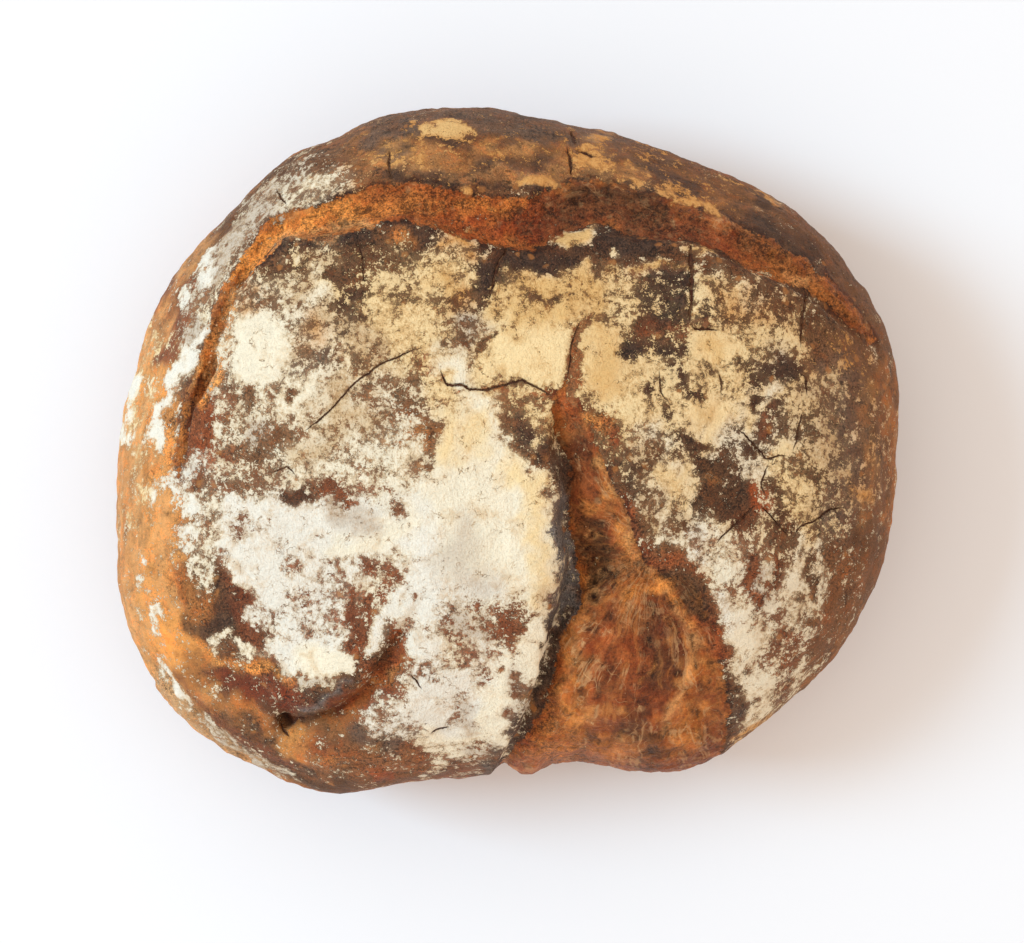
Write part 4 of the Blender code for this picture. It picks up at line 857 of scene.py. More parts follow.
class BreadTints(bpy.types.PropertyGroup):
    """Colours of the crust, the dough and the flour, as they are seen in full light."""

    char: tint_property("Char", "Blackened crust", 72, 52, 40)
    # Char with a painted blue-grey sheen, on the lips of the folds
    slate: tint_property("Slate", "Blue-grey char on the folded lip", 128, 120, 114)
    soot: tint_property("Soot", "Grey-brown char", 110, 88, 72)
    umber: tint_property("Umber", "Dark brown crust", 104, 70, 44)
    brown: tint_property("Brown", "Plain brown crust", 130, 88, 55)
    russet: tint_property("Russet", "Red-brown crust", 136, 78, 46)
    mahogany: tint_property("Mahogany", "Dark red-brown of torn dough", 120, 58, 32)
    rust: tint_property("Rust", "Deep orange-red of torn dough", 168, 86, 42)
    chestnut: tint_property("Chestnut", "Warm middle brown", 156, 100, 58)
    amber: tint_property("Amber", "Orange-brown crust", 184, 118, 60)
    orange: tint_property("Orange", "Orange crust", 236, 158, 80)
    # Pale golden-orange crust, partly painted light on the lit left side
    honey: tint_property("Honey", "Pale golden-orange crust", 234, 166, 100)
    tan: tint_property("Tan", "Pale tan", 216, 166, 112)
    gold: tint_property("Gold", "Golden blisters", 190, 136, 80)
    pink: tint_property("Pink", "Pinkish brown of the near rim", 172, 114, 84)
    white: tint_property("White flour", "Fresh flour", 248, 238, 218)
    cream: tint_property("Cream flour", "Lightly toasted flour", 254, 239, 208)
    butter: tint_property("Butter flour", "Yellow toasted flour", 255, 223, 166)
    toast: tint_property("Toasted flour", "Deeply toasted flour", 228, 168, 98)
    straw: tint_property("Straw flour", "Golden toasted flour", 238, 193, 126)
    oat: tint_property("Oat flour", "Dull beige flour", 228, 197, 152)
    ash: tint_property("Ash flour", "Thin flour on dark crust", 216, 198, 174)
    # Painted shade in the grooves of the cracks and in the holes, as dark red-brown
    crack: tint_property("Crack", "Inside of a crack", 78, 42, 25)


class BreadSizes(bpy.types.PropertyGroup):
    """Sizes of the crust's fine relief."""

    lump_height: length_property("Lump height", "Height of the crust's broad lumps", 0.55)
    pebble_height: length_property("Pebble height", "Height of the crust's small lumps", 0.28)
    fibre_height: length_property("Fibre height", "Height of the torn dough's fibres", 0.45)
    flour_thickness: length_property("Flour thickness", "Thickness of flour where it lies fully", 0.22)
    crack_depth: length_property("Crack depth", "Depth of the cracks' grooves", 0.8)
    foot_depth: length_property("Foot", "Depth of the valley along the squeezed-out foot", 1.2)
    grain_height: length_property("Grain height", "Height of the finest grain in the surface", 0.22)
    exposure: FloatProperty(
        name="Exposure", description="Light on a level surface, for turning seen colours to true ones",
        default=1.17, min=0.1,
    )


class StageSettings(bpy.types.PropertyGroup):
    """The plain floor and the soft studio light."""

    key_power: FloatProperty(
        name="Key power", description="Power of the large light at the upper left",
        default=54.0, unit="POWER",
    )
    key_size: FloatProperty(
        name="Key size", description="Side of the large light", default=1.2, unit="LENGTH",
    )
    world_strength: FloatProperty(
        name="Sky strength", description="Strength of the even light from all round", default=0.86,
    )
    key_tint: colour_property("Key colour", "Colour of the large light", (0.68, 1.09, 1.44))
    sky_tint: colour_property("Sky colour", "Colour of the even light", (1.10, 0.968, 0.875))
    floor_tint: colour_property("Floor", "Colour of the floor", (0.88, 0.88, 0.88))


def ramp(value, low, high):
    """Smooth step from 0 at low to 1 at high."""
    share = np.clip((value - low) / (high - low), 0, 1)
    return share * share * (3 - 2 * share)


def hump(value, width):
    """Bell that is 1 where value is 0."""
    return np.exp(-((value / width) ** 2))


def curve_through(points, closed=False):
    """Catmull-Rom curve through rows of millimetres, with the extra columns carried along."""
    rows = np.array(points, float) * MM
    if closed:
        rows = np.vstack((rows[-1:], rows, rows[:2]))
    else:
        rows = np.vstack((2 * rows[0] - rows[1], rows, 2 * rows[-1] - rows[-2]))
    share = (np.arange(CURVE_STEPS) / CURVE_STEPS)[:, None]
    pieces = []
    for before, start, end, after in zip(rows[:-3], rows[1:-2], rows[2:-1], rows[3:]):
        bend = 2 * before - 5 * start + 4 * end - after
        twist = 3 * start - before - 3 * end + after
        pieces.append(start + 0.5 * share * ((end - before) + share * (bend + share * twist)))
    pieces.append(rows[-2:-1])
    return np.vstack(pieces)


def nearest(line, places):
    """For each place: signed distance (left of the line is +), share of length, carried columns."""
    steps = np.diff(line[:, :2], axis=0)
    lengths = np.hypot(steps[:, 0], steps[:, 1])
    run = np.append(0, np.cumsum(lengths))
    best = np.full(len(places), np.inf)
    side = np.ones(len(places))
    share = np.zeros(len(places))
    carried = np.zeros((len(places), line.shape[1] - 2))
    for index, step in enumerate(steps):
        offset = places - line[index, :2]
        part = np.clip(offset @ step / lengths[index] ** 2, 0, 1)
        gap = offset - part[:, None] * step
        distance = np.hypot(gap[:, 0], gap[:, 1])
        closer = distance < best
        best[closer] = distance[closer]
        turn = step[0] * offset[closer, 1] - step[1] * offset[closer, 0]
        side[closer] = np.where(turn < 0, -1.0, 1.0)
        share[closer] = (run[index] + part[closer] * lengths[index]) / run[-1]
        ends = line[index, 2:], line[index + 1, 2:]
        carried[closer] = ends[0] + part[closer, None] * (ends[1] - ends[0])
    return best * side, share, *carried.T


def meridian():
    """Half section of the loaf from crown to foot: share of the radius, height, running length."""
    angle = np.linspace(0, math.pi / 2, MERIDIAN_POINTS)
    power = 2 / DOME_FULLNESS
    dome_out = np.sin(angle) ** power
    dome_up = WIDEST_HEIGHT + (HEIGHT - WIDEST_HEIGHT) * np.cos(angle) ** power
    side_out = BASE_SHARE + (1 - BASE_SHARE) * np.cos(angle)
    side_up = WIDEST_HEIGHT * (1 - np.sin(angle))
    out = np.concatenate((dome_out, side_out[1:], [0.0]))
    up = np.concatenate((dome_up, side_up[1:], [0.0]))
    run = np.append(0, np.cumsum(np.hypot(np.diff(out) * MEAN_RADIUS, np.diff(up))))
    return out, up, run


def outline_radius(turn):
    """Radius of the widest line in each direction."""
    line = curve_through(OUTLINE, closed=True)[:-1]
    angles = np.arctan2(line[:, 1], line[:, 0])
    order = np.argsort(angles)
    radii = np.hypot(line[:, 0], line[:, 1])
    return np.interp(turn, angles[order], radii[order], period=2 * math.pi)


def seen_from_eye(points):
    """Where points appear in plan from the eye, at the scale of the widest line's level."""
    scale = (EYE_HEIGHT - WIDEST_HEIGHT) / (EYE_HEIGHT - points[:, 2])
    return EYE_PLACE + (points[:, :2] - EYE_PLACE) * scale[:, None]


def body_points(corners):
    """Put the corners of a divided cube on the loaf's plain body.

    Gives the points, their plan places, their directions and how far each lies past the
    widest line, along the meridian.
    """
    ways = np.tan(corners * math.pi / 4)
    ways /= np.linalg.norm(ways, axis=1)[:, None]
    fall = np.arccos(np.clip(ways[:, 2], -1, 1))
    turn = np.arctan2(ways[:, 1], ways[:, 0])
    out, up, run = meridian()
    stations = np.array((0, math.pi / 4, 3 * math.pi / 4, math.pi))
    reached = np.interp(fall, stations, np.array((0, CROWN_SHARE, FOOT_SHARE, 1)) * run[-1])
    radius = outline_radius(turn)
    around = np.stack((np.cos(turn), np.sin(turn)), axis=1)
    plan = around * (radius * np.interp(reached, run, out))[:, None]
    points = np.column_stack((plan, np.interp(reached, run, up)))
    past = reached - run[MERIDIAN_POINTS - 1]
    beyond = around * (radius + past)[:, None]
    places = np.where((past > 0)[:, None], beyond, seen_from_eye(points))
    return points, places, turn, past


def band_relief(places):
    """The burst band: a shallow valley with raised rims, its cap side a little higher."""
    across, share, half, depth = nearest(curve_through(BAND), places)
    distance = np.abs(across)
    ends = ramp(share, 0, BAND_END_SHARE) * ramp(1 - share, 0, BAND_END_SHARE)
    valley = -depth * (1 - ramp(distance, BAND_FLOOR_SHARE * half, half + BAND_EDGE))
    rims = BAND_RIM_LIFT * hump(distance - half - BAND_RIM_PLACE, BAND_RIM_WIDTH)
    cap = CAP_STEP * ramp(-across, 0, half) * (1 - ramp(-across, half, half + CAP_STEP_REACH))
    return ends * (valley + rims + cap)


def under_lip(places, lip):
    """A lip's own face and the hollow under it: how far inside, the depth, the swollen rim."""
    from_lip, _, depth, reach = nearest(curve_through(lip), places)
    inside = ramp(from_lip, 0, LIP_FACE)
    swell = LIP_SWELL * hump(from_lip + 0.6 * LIP_SWELL_REACH, LIP_SWELL_REACH)
    return inside, depth * hump(from_lip, reach), swell * ramp(depth, MM, 6 * MM)


def middle_fold_relief(places):
    """The middle fold: a steep lip over a hollow, and the lobe of inner dough beside it."""
    inside, sunk, swell = under_lip(places, LIP)
    from_edge, _, step = nearest(curve_through(FOLD_EDGE), places)
    inside *= ramp(-from_edge, 0, FOLD_EDGE_FACE)
    ridge = RIDGE_HEIGHT * hump(nearest(curve_through(RIDGE), places)[0], RIDGE_WIDTH)
    return swell * (1 - inside) + inside * (ridge - np.maximum(sunk, step))


def lower_fold_relief(places):
    """The lower left fold: a tongue of crust that stands over a short curved channel."""
    inside, sunk, swell = under_lip(places, FLAP_LIP)
    return swell * (1 - inside) - inside * sunk


def mound_relief(places):
    """Rounded mounds and hollows."""
    total = np.zeros(len(places))
    for x, y, reach, height in MOUNDS:
        away = np.hypot(*(places - np.array((x, y)) * MM).T)
        total += height * MM * hump(away, reach * MM)
    return total


def swell_relief(points, turn):
    """Slow unevenness of hand-shaped dough, and the soft folds down its sides."""
    total = np.zeros(len(points))
    for size, waves, phase in SWELLS:
        total += size * MM * np.sin(points @ np.array(waves, float) + phase)
    clear = ramp(np.abs(points[:, 2] - WIDEST_HEIGHT), 2 * MM, SWELL_FADE)
    total *= SWELL_SHARE_AT_WIDEST + (1 - SWELL_SHARE_AT_WIDEST) * clear
    low = 1 - ramp(points[:, 2], WIDEST_HEIGHT, HEIGHT * SIDE_FOLD_TOP)
    folds = np.abs(np.sin(0.5 * SIDE_FOLDS * turn + SIDE_FOLD_WANDER * np.sin(2 * turn)))
    return total - SIDE_FOLD_DEPTH * low * (1 - folds) ** 2


def relief(points, places, turn):
    """How far each point stands out from the plain body. The base stays flat."""
    lifted = ramp(points[:, 2], PLAIN_FOOT, RELIEF_FROM_FOOT)
    tears = band_relief(places) + middle_fold_relief(places) + lower_fold_relief(places)
    return lifted * (tears + mound_relief(places) + swell_relief(points, turn))


def lumps(points, size, octaves=1, shift=0.0):
    """Noise from about -1 to 1 whose lumps have the given size."""
    return np.array([noise.fractal(p, 1.0, 2.0, octaves) for p in (points / size + shift).tolist()])


def lump_pairs(points, size, octaves, shift=2.0):
    """Two such noises side by side, for pushing plan places about."""
    return np.column_stack([lumps(points, size, octaves, shift + apart) for apart in (0.0, 5.0)])


def read_rows(mesh, name):
    """A property of three numbers for each vertex, as rows."""
    flat = np.empty(len(mesh.vertices) * 3)
    mesh.vertices.foreach_get(name, flat)
    return flat.reshape(-1, 3)


def move_to(mesh, points):
    """Put a mesh's vertices at points."""
    mesh.vertices.foreach_set("co", points.ravel())
    mesh.update()


def raised(mesh, points, heights):
    """Points moved out along the mesh's normals."""
    return points + read_rows(mesh, "normal") * heights[:, None]


def mesh_from(name, shape):
    """Turn a finished shape into a mesh."""
    mesh = bpy.data.meshes.new(name)
    shape.to_mesh(mesh)
    shape.free()
    return mesh


def wants_finer(level, points, places):
    """Which corners the mesh is divided more finely round, at each level."""
    if level == 0:
        return points[:, 2] > LEVEL_WITHIN
    if level == 1:
        return points[:, 2] > FINE_ABOVE
    close = np.abs(torn_depth(places)) < FINEST_BY_TEAR
    for lip, share in ((LIP, FINEST_BY_LIP), (FLAP_LIP, FINEST_BY_FLAP)):
        from_lip = nearest(curve_through(lip), places)[0]
        close |= np.abs(from_lip - 0.5 * LIP_FACE) < share * LIP_FACE
    for _, line in CRACKS:
        close |= np.abs(nearest(np.array(line) * MM, places)[0]) < FINEST_BY_CRACK
    return close


def divided_body():
    """A cube from -1 to 1, divided evenly, then more finely on the visible crust and its tears."""
    shape = bmesh.new()
    bmesh.ops.create_cube(shape, size=2)
    upright = [e for e in shape.edges if e.verts[0].co.z != e.verts[1].co.z]
    bmesh.ops.subdivide_edges(shape, edges=upright, cuts=CELLS_HIGH - 1, use_grid_fill=True)
    level = [e for e in shape.edges if abs(e.verts[0].co.z - e.verts[1].co.z) < LEVEL_WITHIN]
    bmesh.ops.subdivide_edges(shape, edges=level, cuts=CELLS_ACROSS - 1, use_grid_fill=True)
    for finer in range(FINENESS_LEVELS):
        shape.verts.index_update()
        corners = np.array([v.co for v in shape.verts])
        points, places, _, _ = body_points(corners)
        wanted = wants_finer(finer, points, places)
        cut = [e for e in shape.edges if wanted[e.verts[0].index] and wanted[e.verts[1].index]]
        bmesh.ops.subdivide_edges(shape, edges=cut, cuts=1, use_grid_fill=True)
    return mesh_from("crust", shape)


def torn_depth(places):
    """How far inside the torn dough a place lies, in metres, with less than 0 on the crust."""
    across, share, half, _ = nearest(curve_through(BAND), places)
    ends = np.minimum(share, 1 - share) * BAND_LENGTH - 1 * MM
    band = np.minimum(0.92 * half - np.abs(across), ends)
    from_foot = nearest(curve_through(LIP_FOOT), places)[0]
    from_edge = nearest(curve_through(FOLD_EDGE), places)[0]
    fold = np.minimum(from_foot, -from_edge - 1 * MM)
    return np.maximum(band, fold)


def brushed(places, shift, points, softness):
    """The places that a stroke touches, and how much of it lies on each.

    The softer a stroke, the more the shift frays its outline.
    """
    rows = np.array(points, float) * MM
    soft = (1.5 * softness + 0.2) * MM
    places = places + shift * min(1.0, 0.35 + 0.3 * softness)
    reach = rows[:, 2].max() + soft
    low = rows[:, :2].min(axis=0) - reach
    high = rows[:, :2].max(axis=0) + reach
    near = np.flatnonzero(((places > low) & (places < high)).all(axis=1))
    spots = places[near]
    inside = np.full(len(near), -np.inf)
    if len(rows) == 1:
        rows = np.vstack((rows, rows + (LEVEL_WITHIN, 0, 0)))
    for start, end in zip(rows[:-1], rows[1:]):
        step = end[:2] - start[:2]
        part = np.clip((spots - start[:2]) @ step / (step @ step), 0, 1)
        gap = spots - start[:2] - part[:, None] * step
        width = start[2] + part * (end[2] - start[2])
        inside = np.maximum(inside, width - np.hypot(gap[:, 0], gap[:, 1]))
    return near, ramp(inside, -soft, soft)


def laid(places, shift, strokes):
    """The lines of strokes in turn: tint, strength, the places touched and how much of it is there."""
    for tint, strength, softness, *dabs in strokes:
        line = []
        for dab in (*dabs, ()):
            if dab:
                line.append((*dab, line[-1][2]) if len(dab) == 2 else dab)
            else:
                yield (tint, strength, *brushed(places, shift, line, softness))
                line = []


def lay_tint(tints, near, share, tint):
    """Bring the tints of some places nearer to another, each by its own share."""
    tints[near] += share[:, None] * (np.array(tint) - tints[near])


def paint_tints(tints, places, shift, colours, strokes):
    """Lay strokes of colour over the colours that are there."""
    for tint, strength, near, share in laid(places, shift, strokes):
        lay_tint(tints, near, share * strength, getattr(colours, tint))


def rim_tints(turn, colours):
    """Colour of the rim and the sides in each direction."""
    angles = np.radians([angle for angle, _ in RIM_TINTS])
    rows = np.array([getattr(colours, name) for _, name in RIM_TINTS])
    columns = [np.interp(turn, angles, rows[:, i], period=2 * math.pi) for i in range(3)]
    return np.column_stack(columns)


def paint_crust(places, shift, turn, past, colours):
    """Colour of the browned crust at each place."""
    ground = np.tile(colours.brown, (len(places), 1))
    inward = ramp(past, *RIM_TINT_FADE)[:, None]
    tints = ground + inward * (rim_tints(turn, colours) - ground)
    paint_tints(tints, places, shift, colours, CRUST_STROKES)
    lay_tint(tints, slice(None), ramp(past, *SIDE_BROWNING), colours.chestnut)
    return tints


def paint_torn(places, shift, colours):
    """Colour of the torn dough at each place."""
    tints = np.tile(colours.amber, (len(places), 1))
    paint_tints(tints, places, shift, colours, TORN_STROKES)
    return tints


def paint_holes(tints, places, colours):
    """Darken the small holes in the inner dough with painted shade, and give each a pale rim."""
    for x, y, radius, _ in DOUGH_HOLES:
        away = np.hypot(*(places - np.array((x, y)) * MM).T) / (radius * MM)
        rim = HOLE_RIM_STRENGTH * hump(away - HOLE_RIM_PLACE, HOLE_RIM_WIDTH)
        lay_tint(tints, slice(None), rim, colours.tan)
        lay_tint(tints, slice(None), 1 - ramp(away, *HOLE_EDGE), colours.crack)


def paint_flour(places, shift, past, colours):
    """How much flour lies at each place, and its colour."""
    tints = np.tile(colours.cream, (len(places), 1))
    amount = np.full(len(places), PLAIN_FLOUR)
    for tone, much, near, share in laid(places, shift, FLOUR_STROKES):
        amount[near] += share * (much - amount[near])
        if tone != "bare":
            lay_tint(tints, near, share, getattr(colours, tone))
    return np.where(past > FOOT_FLOUR_FROM, FOOT_FLOUR, amount), tints


def paint_amount(places, shift, start, strokes):
    """Lay strokes of one amount over a plain start."""
    amount = np.full(len(places), start)
    for much, softness, dabs in strokes:
        near, share = brushed(places, shift, dabs, softness)
        amount[near] += share * (much - amount[near])
    return amount


def crack_lines(places):
    """For each place: signed distance from the nearest crack in its own half widths, and its weight."""
    best = np.full(len(places), np.inf)
    side = np.full(len(places), FAR_FROM_CRACKS)
    weight = np.zeros(len(places))
    for width, line in CRACKS:
        rows = np.array(line, float) * MM
        distance, share = nearest(rows, places)
        length = np.hypot(*np.diff(rows, axis=0).T).sum()
        end = np.minimum(share, 1 - share) * length
        taper = ramp(end, -0.2 * MM, min(0.5 * length, CRACK_TAPER))
        closer = np.abs(distance) < best
        best[closer] = np.abs(distance[closer])
        open_share = CRACK_END_SHARE + (1 - CRACK_END_SHARE) * taper[closer]
        side[closer] = distance[closer] / (CRACK_HALF * width * MM * open_share)
        weight[closer] = ramp(taper[closer], 0, 0.25)
    side = np.clip(side, -FAR_FROM_CRACKS, FAR_FROM_CRACKS)
    return side, weight * (1 - ramp(best, *CRACK_FADE))


def dome(places, x, y, radius, height):
    """A small rounded bump, or a pit with a height below zero, and the places it touches."""
    away = places - np.array((x, y)) * MM
    near = np.flatnonzero((np.abs(away) < 2 * radius * MM).all(axis=1))
    distance = np.hypot(away[near, 0], away[near, 1]) / (radius * MM)
    return near, height * MM * np.exp(-(distance ** 4))


def scattered_blisters():
    """Small blisters of the lobe and of the bare crust: x, y, radius, height."""
    chance = np.random.RandomState(BLISTER_SEED)
    found = []
    for _ in range(LOBE_BLISTERS):
        x, y = chance.uniform(*LOBE_CORNERS)
        found.append((x, y, chance.uniform(0.8, 1.8), chance.uniform(0.15, 0.4)))
    for _ in range(CRUST_BLISTERS):
        angle = chance.uniform(0, 2 * math.pi)
        out = chance.uniform(*RIM_RADII)
        x, y = out * math.cos(angle), RIM_FLATTENING * out * math.sin(angle)
        found.append((x, y, chance.uniform(0.8, 2.0), chance.uniform(0.12, 0.35)))
    return found


def fibre_places(places, wander, turn, past, torn):
    """Places stretched along the dough's fibres, so that noise there comes out as streaks."""
    around = np.stack((np.cos(turn), np.sin(turn)), axis=1) * MEAN_RADIUS / SIDE_FIBRE[0]
    rings = np.column_stack((around, past / SIDE_FIBRE[1]))
    away = places + wander - LOBE_HEAD
    reach = np.hypot(away[:, 0], away[:, 1])
    fan = away / np.maximum(reach, MM)[:, None] * LOBE_RADIUS / LOBE_FIBRE[1]
    lobe = np.column_stack((fan, reach / LOBE_FIBRE[0]))
    across, share, *_ = nearest(curve_through(BAND), places)
    band = np.column_stack((share * BAND_LENGTH / BAND_FIBRE[0], across / BAND_FIBRE[1], across * 0))
    from_band = np.abs(across) < BAND_REACH
    inner = np.where(from_band[:, None], band, lobe)
    return np.where((torn > 0)[:, None], inner, rings)


def fine_relief(points, places, sizes, facts):
    """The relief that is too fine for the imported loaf."""
    torn = ramp(facts["torn"], *TORN_EDGE)
    total = sizes.lump_height * lumps(points, BROAD_LUMPS, 2)
    total += sizes.pebble_height * lumps(points, SMALL_LUMPS, 2, 5.0)
    fibrous = CRUST_FIBRE_SHARE + (1 - CRUST_FIBRE_SHARE) * torn
    total += sizes.fibre_height * lumps(facts["fibres"], 1, 2) * fibrous
    total -= TORN_PIT_DEPTH * torn * np.abs(lumps(points, TORN_PITS, 2, 9.0))
    holes = [(x, y, radius, -depth) for x, y, radius, depth in (*DOUGH_HOLES, *CRUST_HOLES)]
    for x, y, radius, height in (*BLISTERS, *scattered_blisters(), *holes):
        near, up = dome(places, x, y, radius, height)
        total[near] += up
    from_foot, share = nearest(curve_through(FOOT), places)
    foot = sizes.foot_depth * ramp(np.minimum(share, 1 - share), 0, FOOT_END_SHARE)
    heap = FOOT_HEAP_SHARE + lumps(points, FOOT_HEAP_LUMPS, 2, 4.0)
    total -= foot * hump(from_foot, FOOT_VALLEY_WIDTH)
    total += foot * hump(from_foot + FOOT_HEAP_PLACE, FOOT_HEAP_WIDTH) * heap
    groove = np.maximum(0, 1 - np.abs(facts["crack_side"]) / CRACK_GROOVE)
    total -= sizes.crack_depth * (groove * facts["crack_weight"])
    total += sizes.flour_thickness * ramp(facts["flour"], *THICK_FLOUR) * (1 - torn)
    return total * ramp(points[:, 2], PLAIN_FOOT, FINE_RELIEF_FROM_FOOT)


def fitted(points):
    """Points moved and stretched a little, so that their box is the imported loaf's."""
    low = points.min(axis=0)
    high = points.max(axis=0)
    middle = np.array(((low[0] + high[0]) / 2, (low[1] + high[1]) / 2, low[2]))
    return (points - middle) * np.array((LENGTH, WIDTH, HEIGHT)) / (high - low)


def shape_crust(mesh, colours, sizes):
    """Turn the divided cube into the crust, and give it what its material reads."""
    points, places, turn, past = body_points(read_rows(mesh, "co"))
    before = seen_from_eye(points)
    move_to(mesh, points)
    points = fitted(raised(mesh, points, relief(points, places, turn)))
    move_to(mesh, points)
    fade = 1 - ramp(past, 0, SEEN_FADE)
    places = places + (seen_from_eye(points) - before) * fade[:, None]
    shift = SLOW_SHIFT * lump_pairs(points, SLOW_LUMPS, 2)
    shift = MM * (shift + QUICK_SHIFT * lump_pairs(points, QUICK_LUMPS, 3, 3.0))
    frayed = MM * lump_pairs(points, QUICK_LUMPS, 2)
    wander = FIBRE_WANDER * lump_pairs(points, WANDER_LUMPS, 1) + FIBRE_SHIFT * shift
    torn = torn_depth(places + TEAR_FRAY * frayed)
    side, weight = crack_lines(places + CRACK_FRAY * frayed)
    flour, flour_tints = paint_flour(places, shift, past, colours)
    fibres = fibre_places(places, wander, turn, past, torn)
    facts = {"torn": torn, "fibres": fibres, "crack_side": side, "crack_weight": weight, "flour": flour}
    up = fine_relief(points, places, sizes, facts)
    move_to(mesh, raised(mesh, points, up))
    crust_tints = paint_crust(places, shift, turn, past, colours)
    torn_tints = paint_torn(places, shift, colours)
    paint_holes(torn_tints, places, colours)
    paint_holes(crust_tints, places, colours)
    painted = {"crust_tint": crust_tints, "torn_tint": torn_tints, "flour_tint": flour_tints}
    for name, tints in painted.items():
        rows = np.column_stack((tints / sizes.exposure, np.ones(len(tints))))
        store(mesh, name, "FLOAT_COLOR", rows)
    depth = np.clip(torn / MM, -KEPT_DEPTH, KEPT_DEPTH)
    store(mesh, "cover", "FLOAT_VECTOR", np.column_stack((flour, depth, up / MM)))
    streaky = paint_amount(places, shift, PLAIN_STREAKS, STREAK_STROKES)
    on_sides = np.maximum(streaky, SIDE_STREAKS * ramp(past, *SIDE_STREAKS_FROM))
    store(mesh, "streaky", "FLOAT", np.where(torn > 0, on_sides, streaky))
    calm = paint_amount(places, shift, 0.0, CALM_STROKES)
    calm = np.maximum(calm, SIDE_CALM * ramp(past, *SIDE_CALM_FROM))
    store(mesh, "crack", "FLOAT_VECTOR", np.column_stack((side, weight, calm)))
    store(mesh, "fibres", "FLOAT_VECTOR", fibres)


def store(mesh, name, kind, rows):
    """Keep a number, a vector or a colour for each vertex."""
    field = {"FLOAT": "value", "FLOAT_VECTOR": "vector", "FLOAT_COLOR": "color"}[kind]
    mesh.attributes.new(name, kind, "POINT").data.foreach_set(field, rows.ravel())


class Wire:
    """A shader socket's number, for writing shader maths as plain expressions."""

    def __init__(self, board, socket):
        self.board = board
        self.socket = socket

    def __add__(self, other):
        return self.board.maths("ADD", self, other)

    def __sub__(self, other):
        return self.board.maths("SUBTRACT", self, other)

    def __rsub__(self, other):
        return self.board.maths("SUBTRACT", other, self)

    def __mul__(self, other):
        return self.board.maths("MULTIPLY", self, other)

    __radd__ = __add__
    __rmul__ = __mul__

    def __abs__(self):
        return self.board.maths("ABSOLUTE", self)


class Board:
    """A material's nodes."""

    def __init__(self, name):
        self.material = bpy.data.materials.new(name)
        self.material.use_nodes = True
        self.nodes = self.material.node_tree.nodes
        self.links = self.material.node_tree.links
        self.shader = self.nodes["Principled BSDF"]

    def add(self, kind, settings=None, sockets=None):
        """Any node: its type, its settings, and the values or links of its sockets."""
        node = self.nodes.new(kind)
        for name, value in (settings or {}).items():
            setattr(node, name, value)
        for name, value in (sockets or {}).items():
            self.feed(node.inputs[name], value)
        return node

    def feed(self, socket, value):
        """Link a wire to a socket, or set its value."""
        if isinstance(value, Wire):
            self.links.new(value.socket, socket)
        else:
            socket.default_value = value

    def maths(self, operation, first, second=None):
        """One step of shader maths, with one number or two."""
        sockets = {0: first}
        if second is not None:
            sockets[1] = second
        return Wire(self, self.add("ShaderNodeMath", {"operation": operation}, sockets).outputs[0])

    def attribute(self, name, output):
        """One of the outputs of a stored attribute."""
        return Wire(self, self.add("ShaderNodeAttribute", {"attribute_name": name}).outputs[output])

    def parts(self, vector):
        """The three numbers of a vector."""
        node = self.add("ShaderNodeSeparateXYZ", sockets={0: vector})
        return [Wire(self, output) for output in node.outputs]

    def place(self):
        """The place on the object in millimetres."""
        return self.scaled(Wire(self, self.add("ShaderNodeTexCoord").outputs["Object"]), 1 / MM)

    def noise(self, place, size, detail=2.0, roughness=0.5):
        """Noise about 0, mostly between -0.5 and 0.5, whose lumps have the given size."""
        sockets = {"Vector": place, "Scale": 1 / size, "Detail": detail, "Roughness": roughness}
        return Wire(self, self.add("ShaderNodeTexNoise", sockets=sockets).outputs[0]) - 0.5

    def warped(self, place, size, reach):
        """A place pushed about by noise."""
        push = self.add("ShaderNodeTexNoise", sockets={"Vector": place, "Scale": 1 / size})
        push = self.scaled(Wire(self, push.outputs["Color"]), reach)
        return Wire(self, self.add("ShaderNodeVectorMath", sockets={0: place, 1: push}).outputs[0])

    def cells(self, place, size):
        """Distance from the nearest of many scattered spots, and a number for which spot it is."""
        node = self.add("ShaderNodeTexVoronoi", sockets={"Vector": place, "Scale": 1 / size})
        return Wire(self, node.outputs["Distance"]), self.parts(Wire(self, node.outputs["Color"]))[0]

    def step(self, value, low, high):
        """Smooth step from 0 at low to 1 at high."""
        settings = {"interpolation_type": "SMOOTHSTEP"}
        sockets = {"Value": value, "From Min": low, "From Max": high}
        return Wire(self, self.add("ShaderNodeMapRange", settings, sockets).outputs[0])

    def blend(self, share, first, second, way="MIX"):
        """Mix two colours."""
        settings = {"data_type": "RGBA", "blend_type": way, "clamp_factor": True}
        node = self.add("ShaderNodeMix", settings, {0: share, 6: first, 7: second})
        return Wire(self, node.outputs[2])

    def tinged(self, colour, amounts):
        """A colour whose red, green and blue are each multiplied by an amount."""
        return self.blend(1.0, colour, opaque(amounts), "MULTIPLY")

    def scaled(self, vector, amount):
        """A vector made longer or shorter, or a colour made lighter or darker."""
        node = self.add("ShaderNodeVectorMath", {"operation": "SCALE"}, {0: vector, "Scale": amount})
        return Wire(self, node.outputs[0])

    def finish(self, colour, roughness, height, distance):
        """Feed the shader, with a bump from the height."""
        bump = self.add("ShaderNodeBump", sockets={"Height": height, "Distance": distance})
        self.feed(self.shader.inputs["Base Color"], colour)
        self.feed(self.shader.inputs["Roughness"], roughness)
        self.feed(self.shader.inputs["Normal"], Wire(self, bump.outputs[0]))
        return self.material


def opaque(colour):
    """A colour with its alpha."""
    return (*colour, 1)


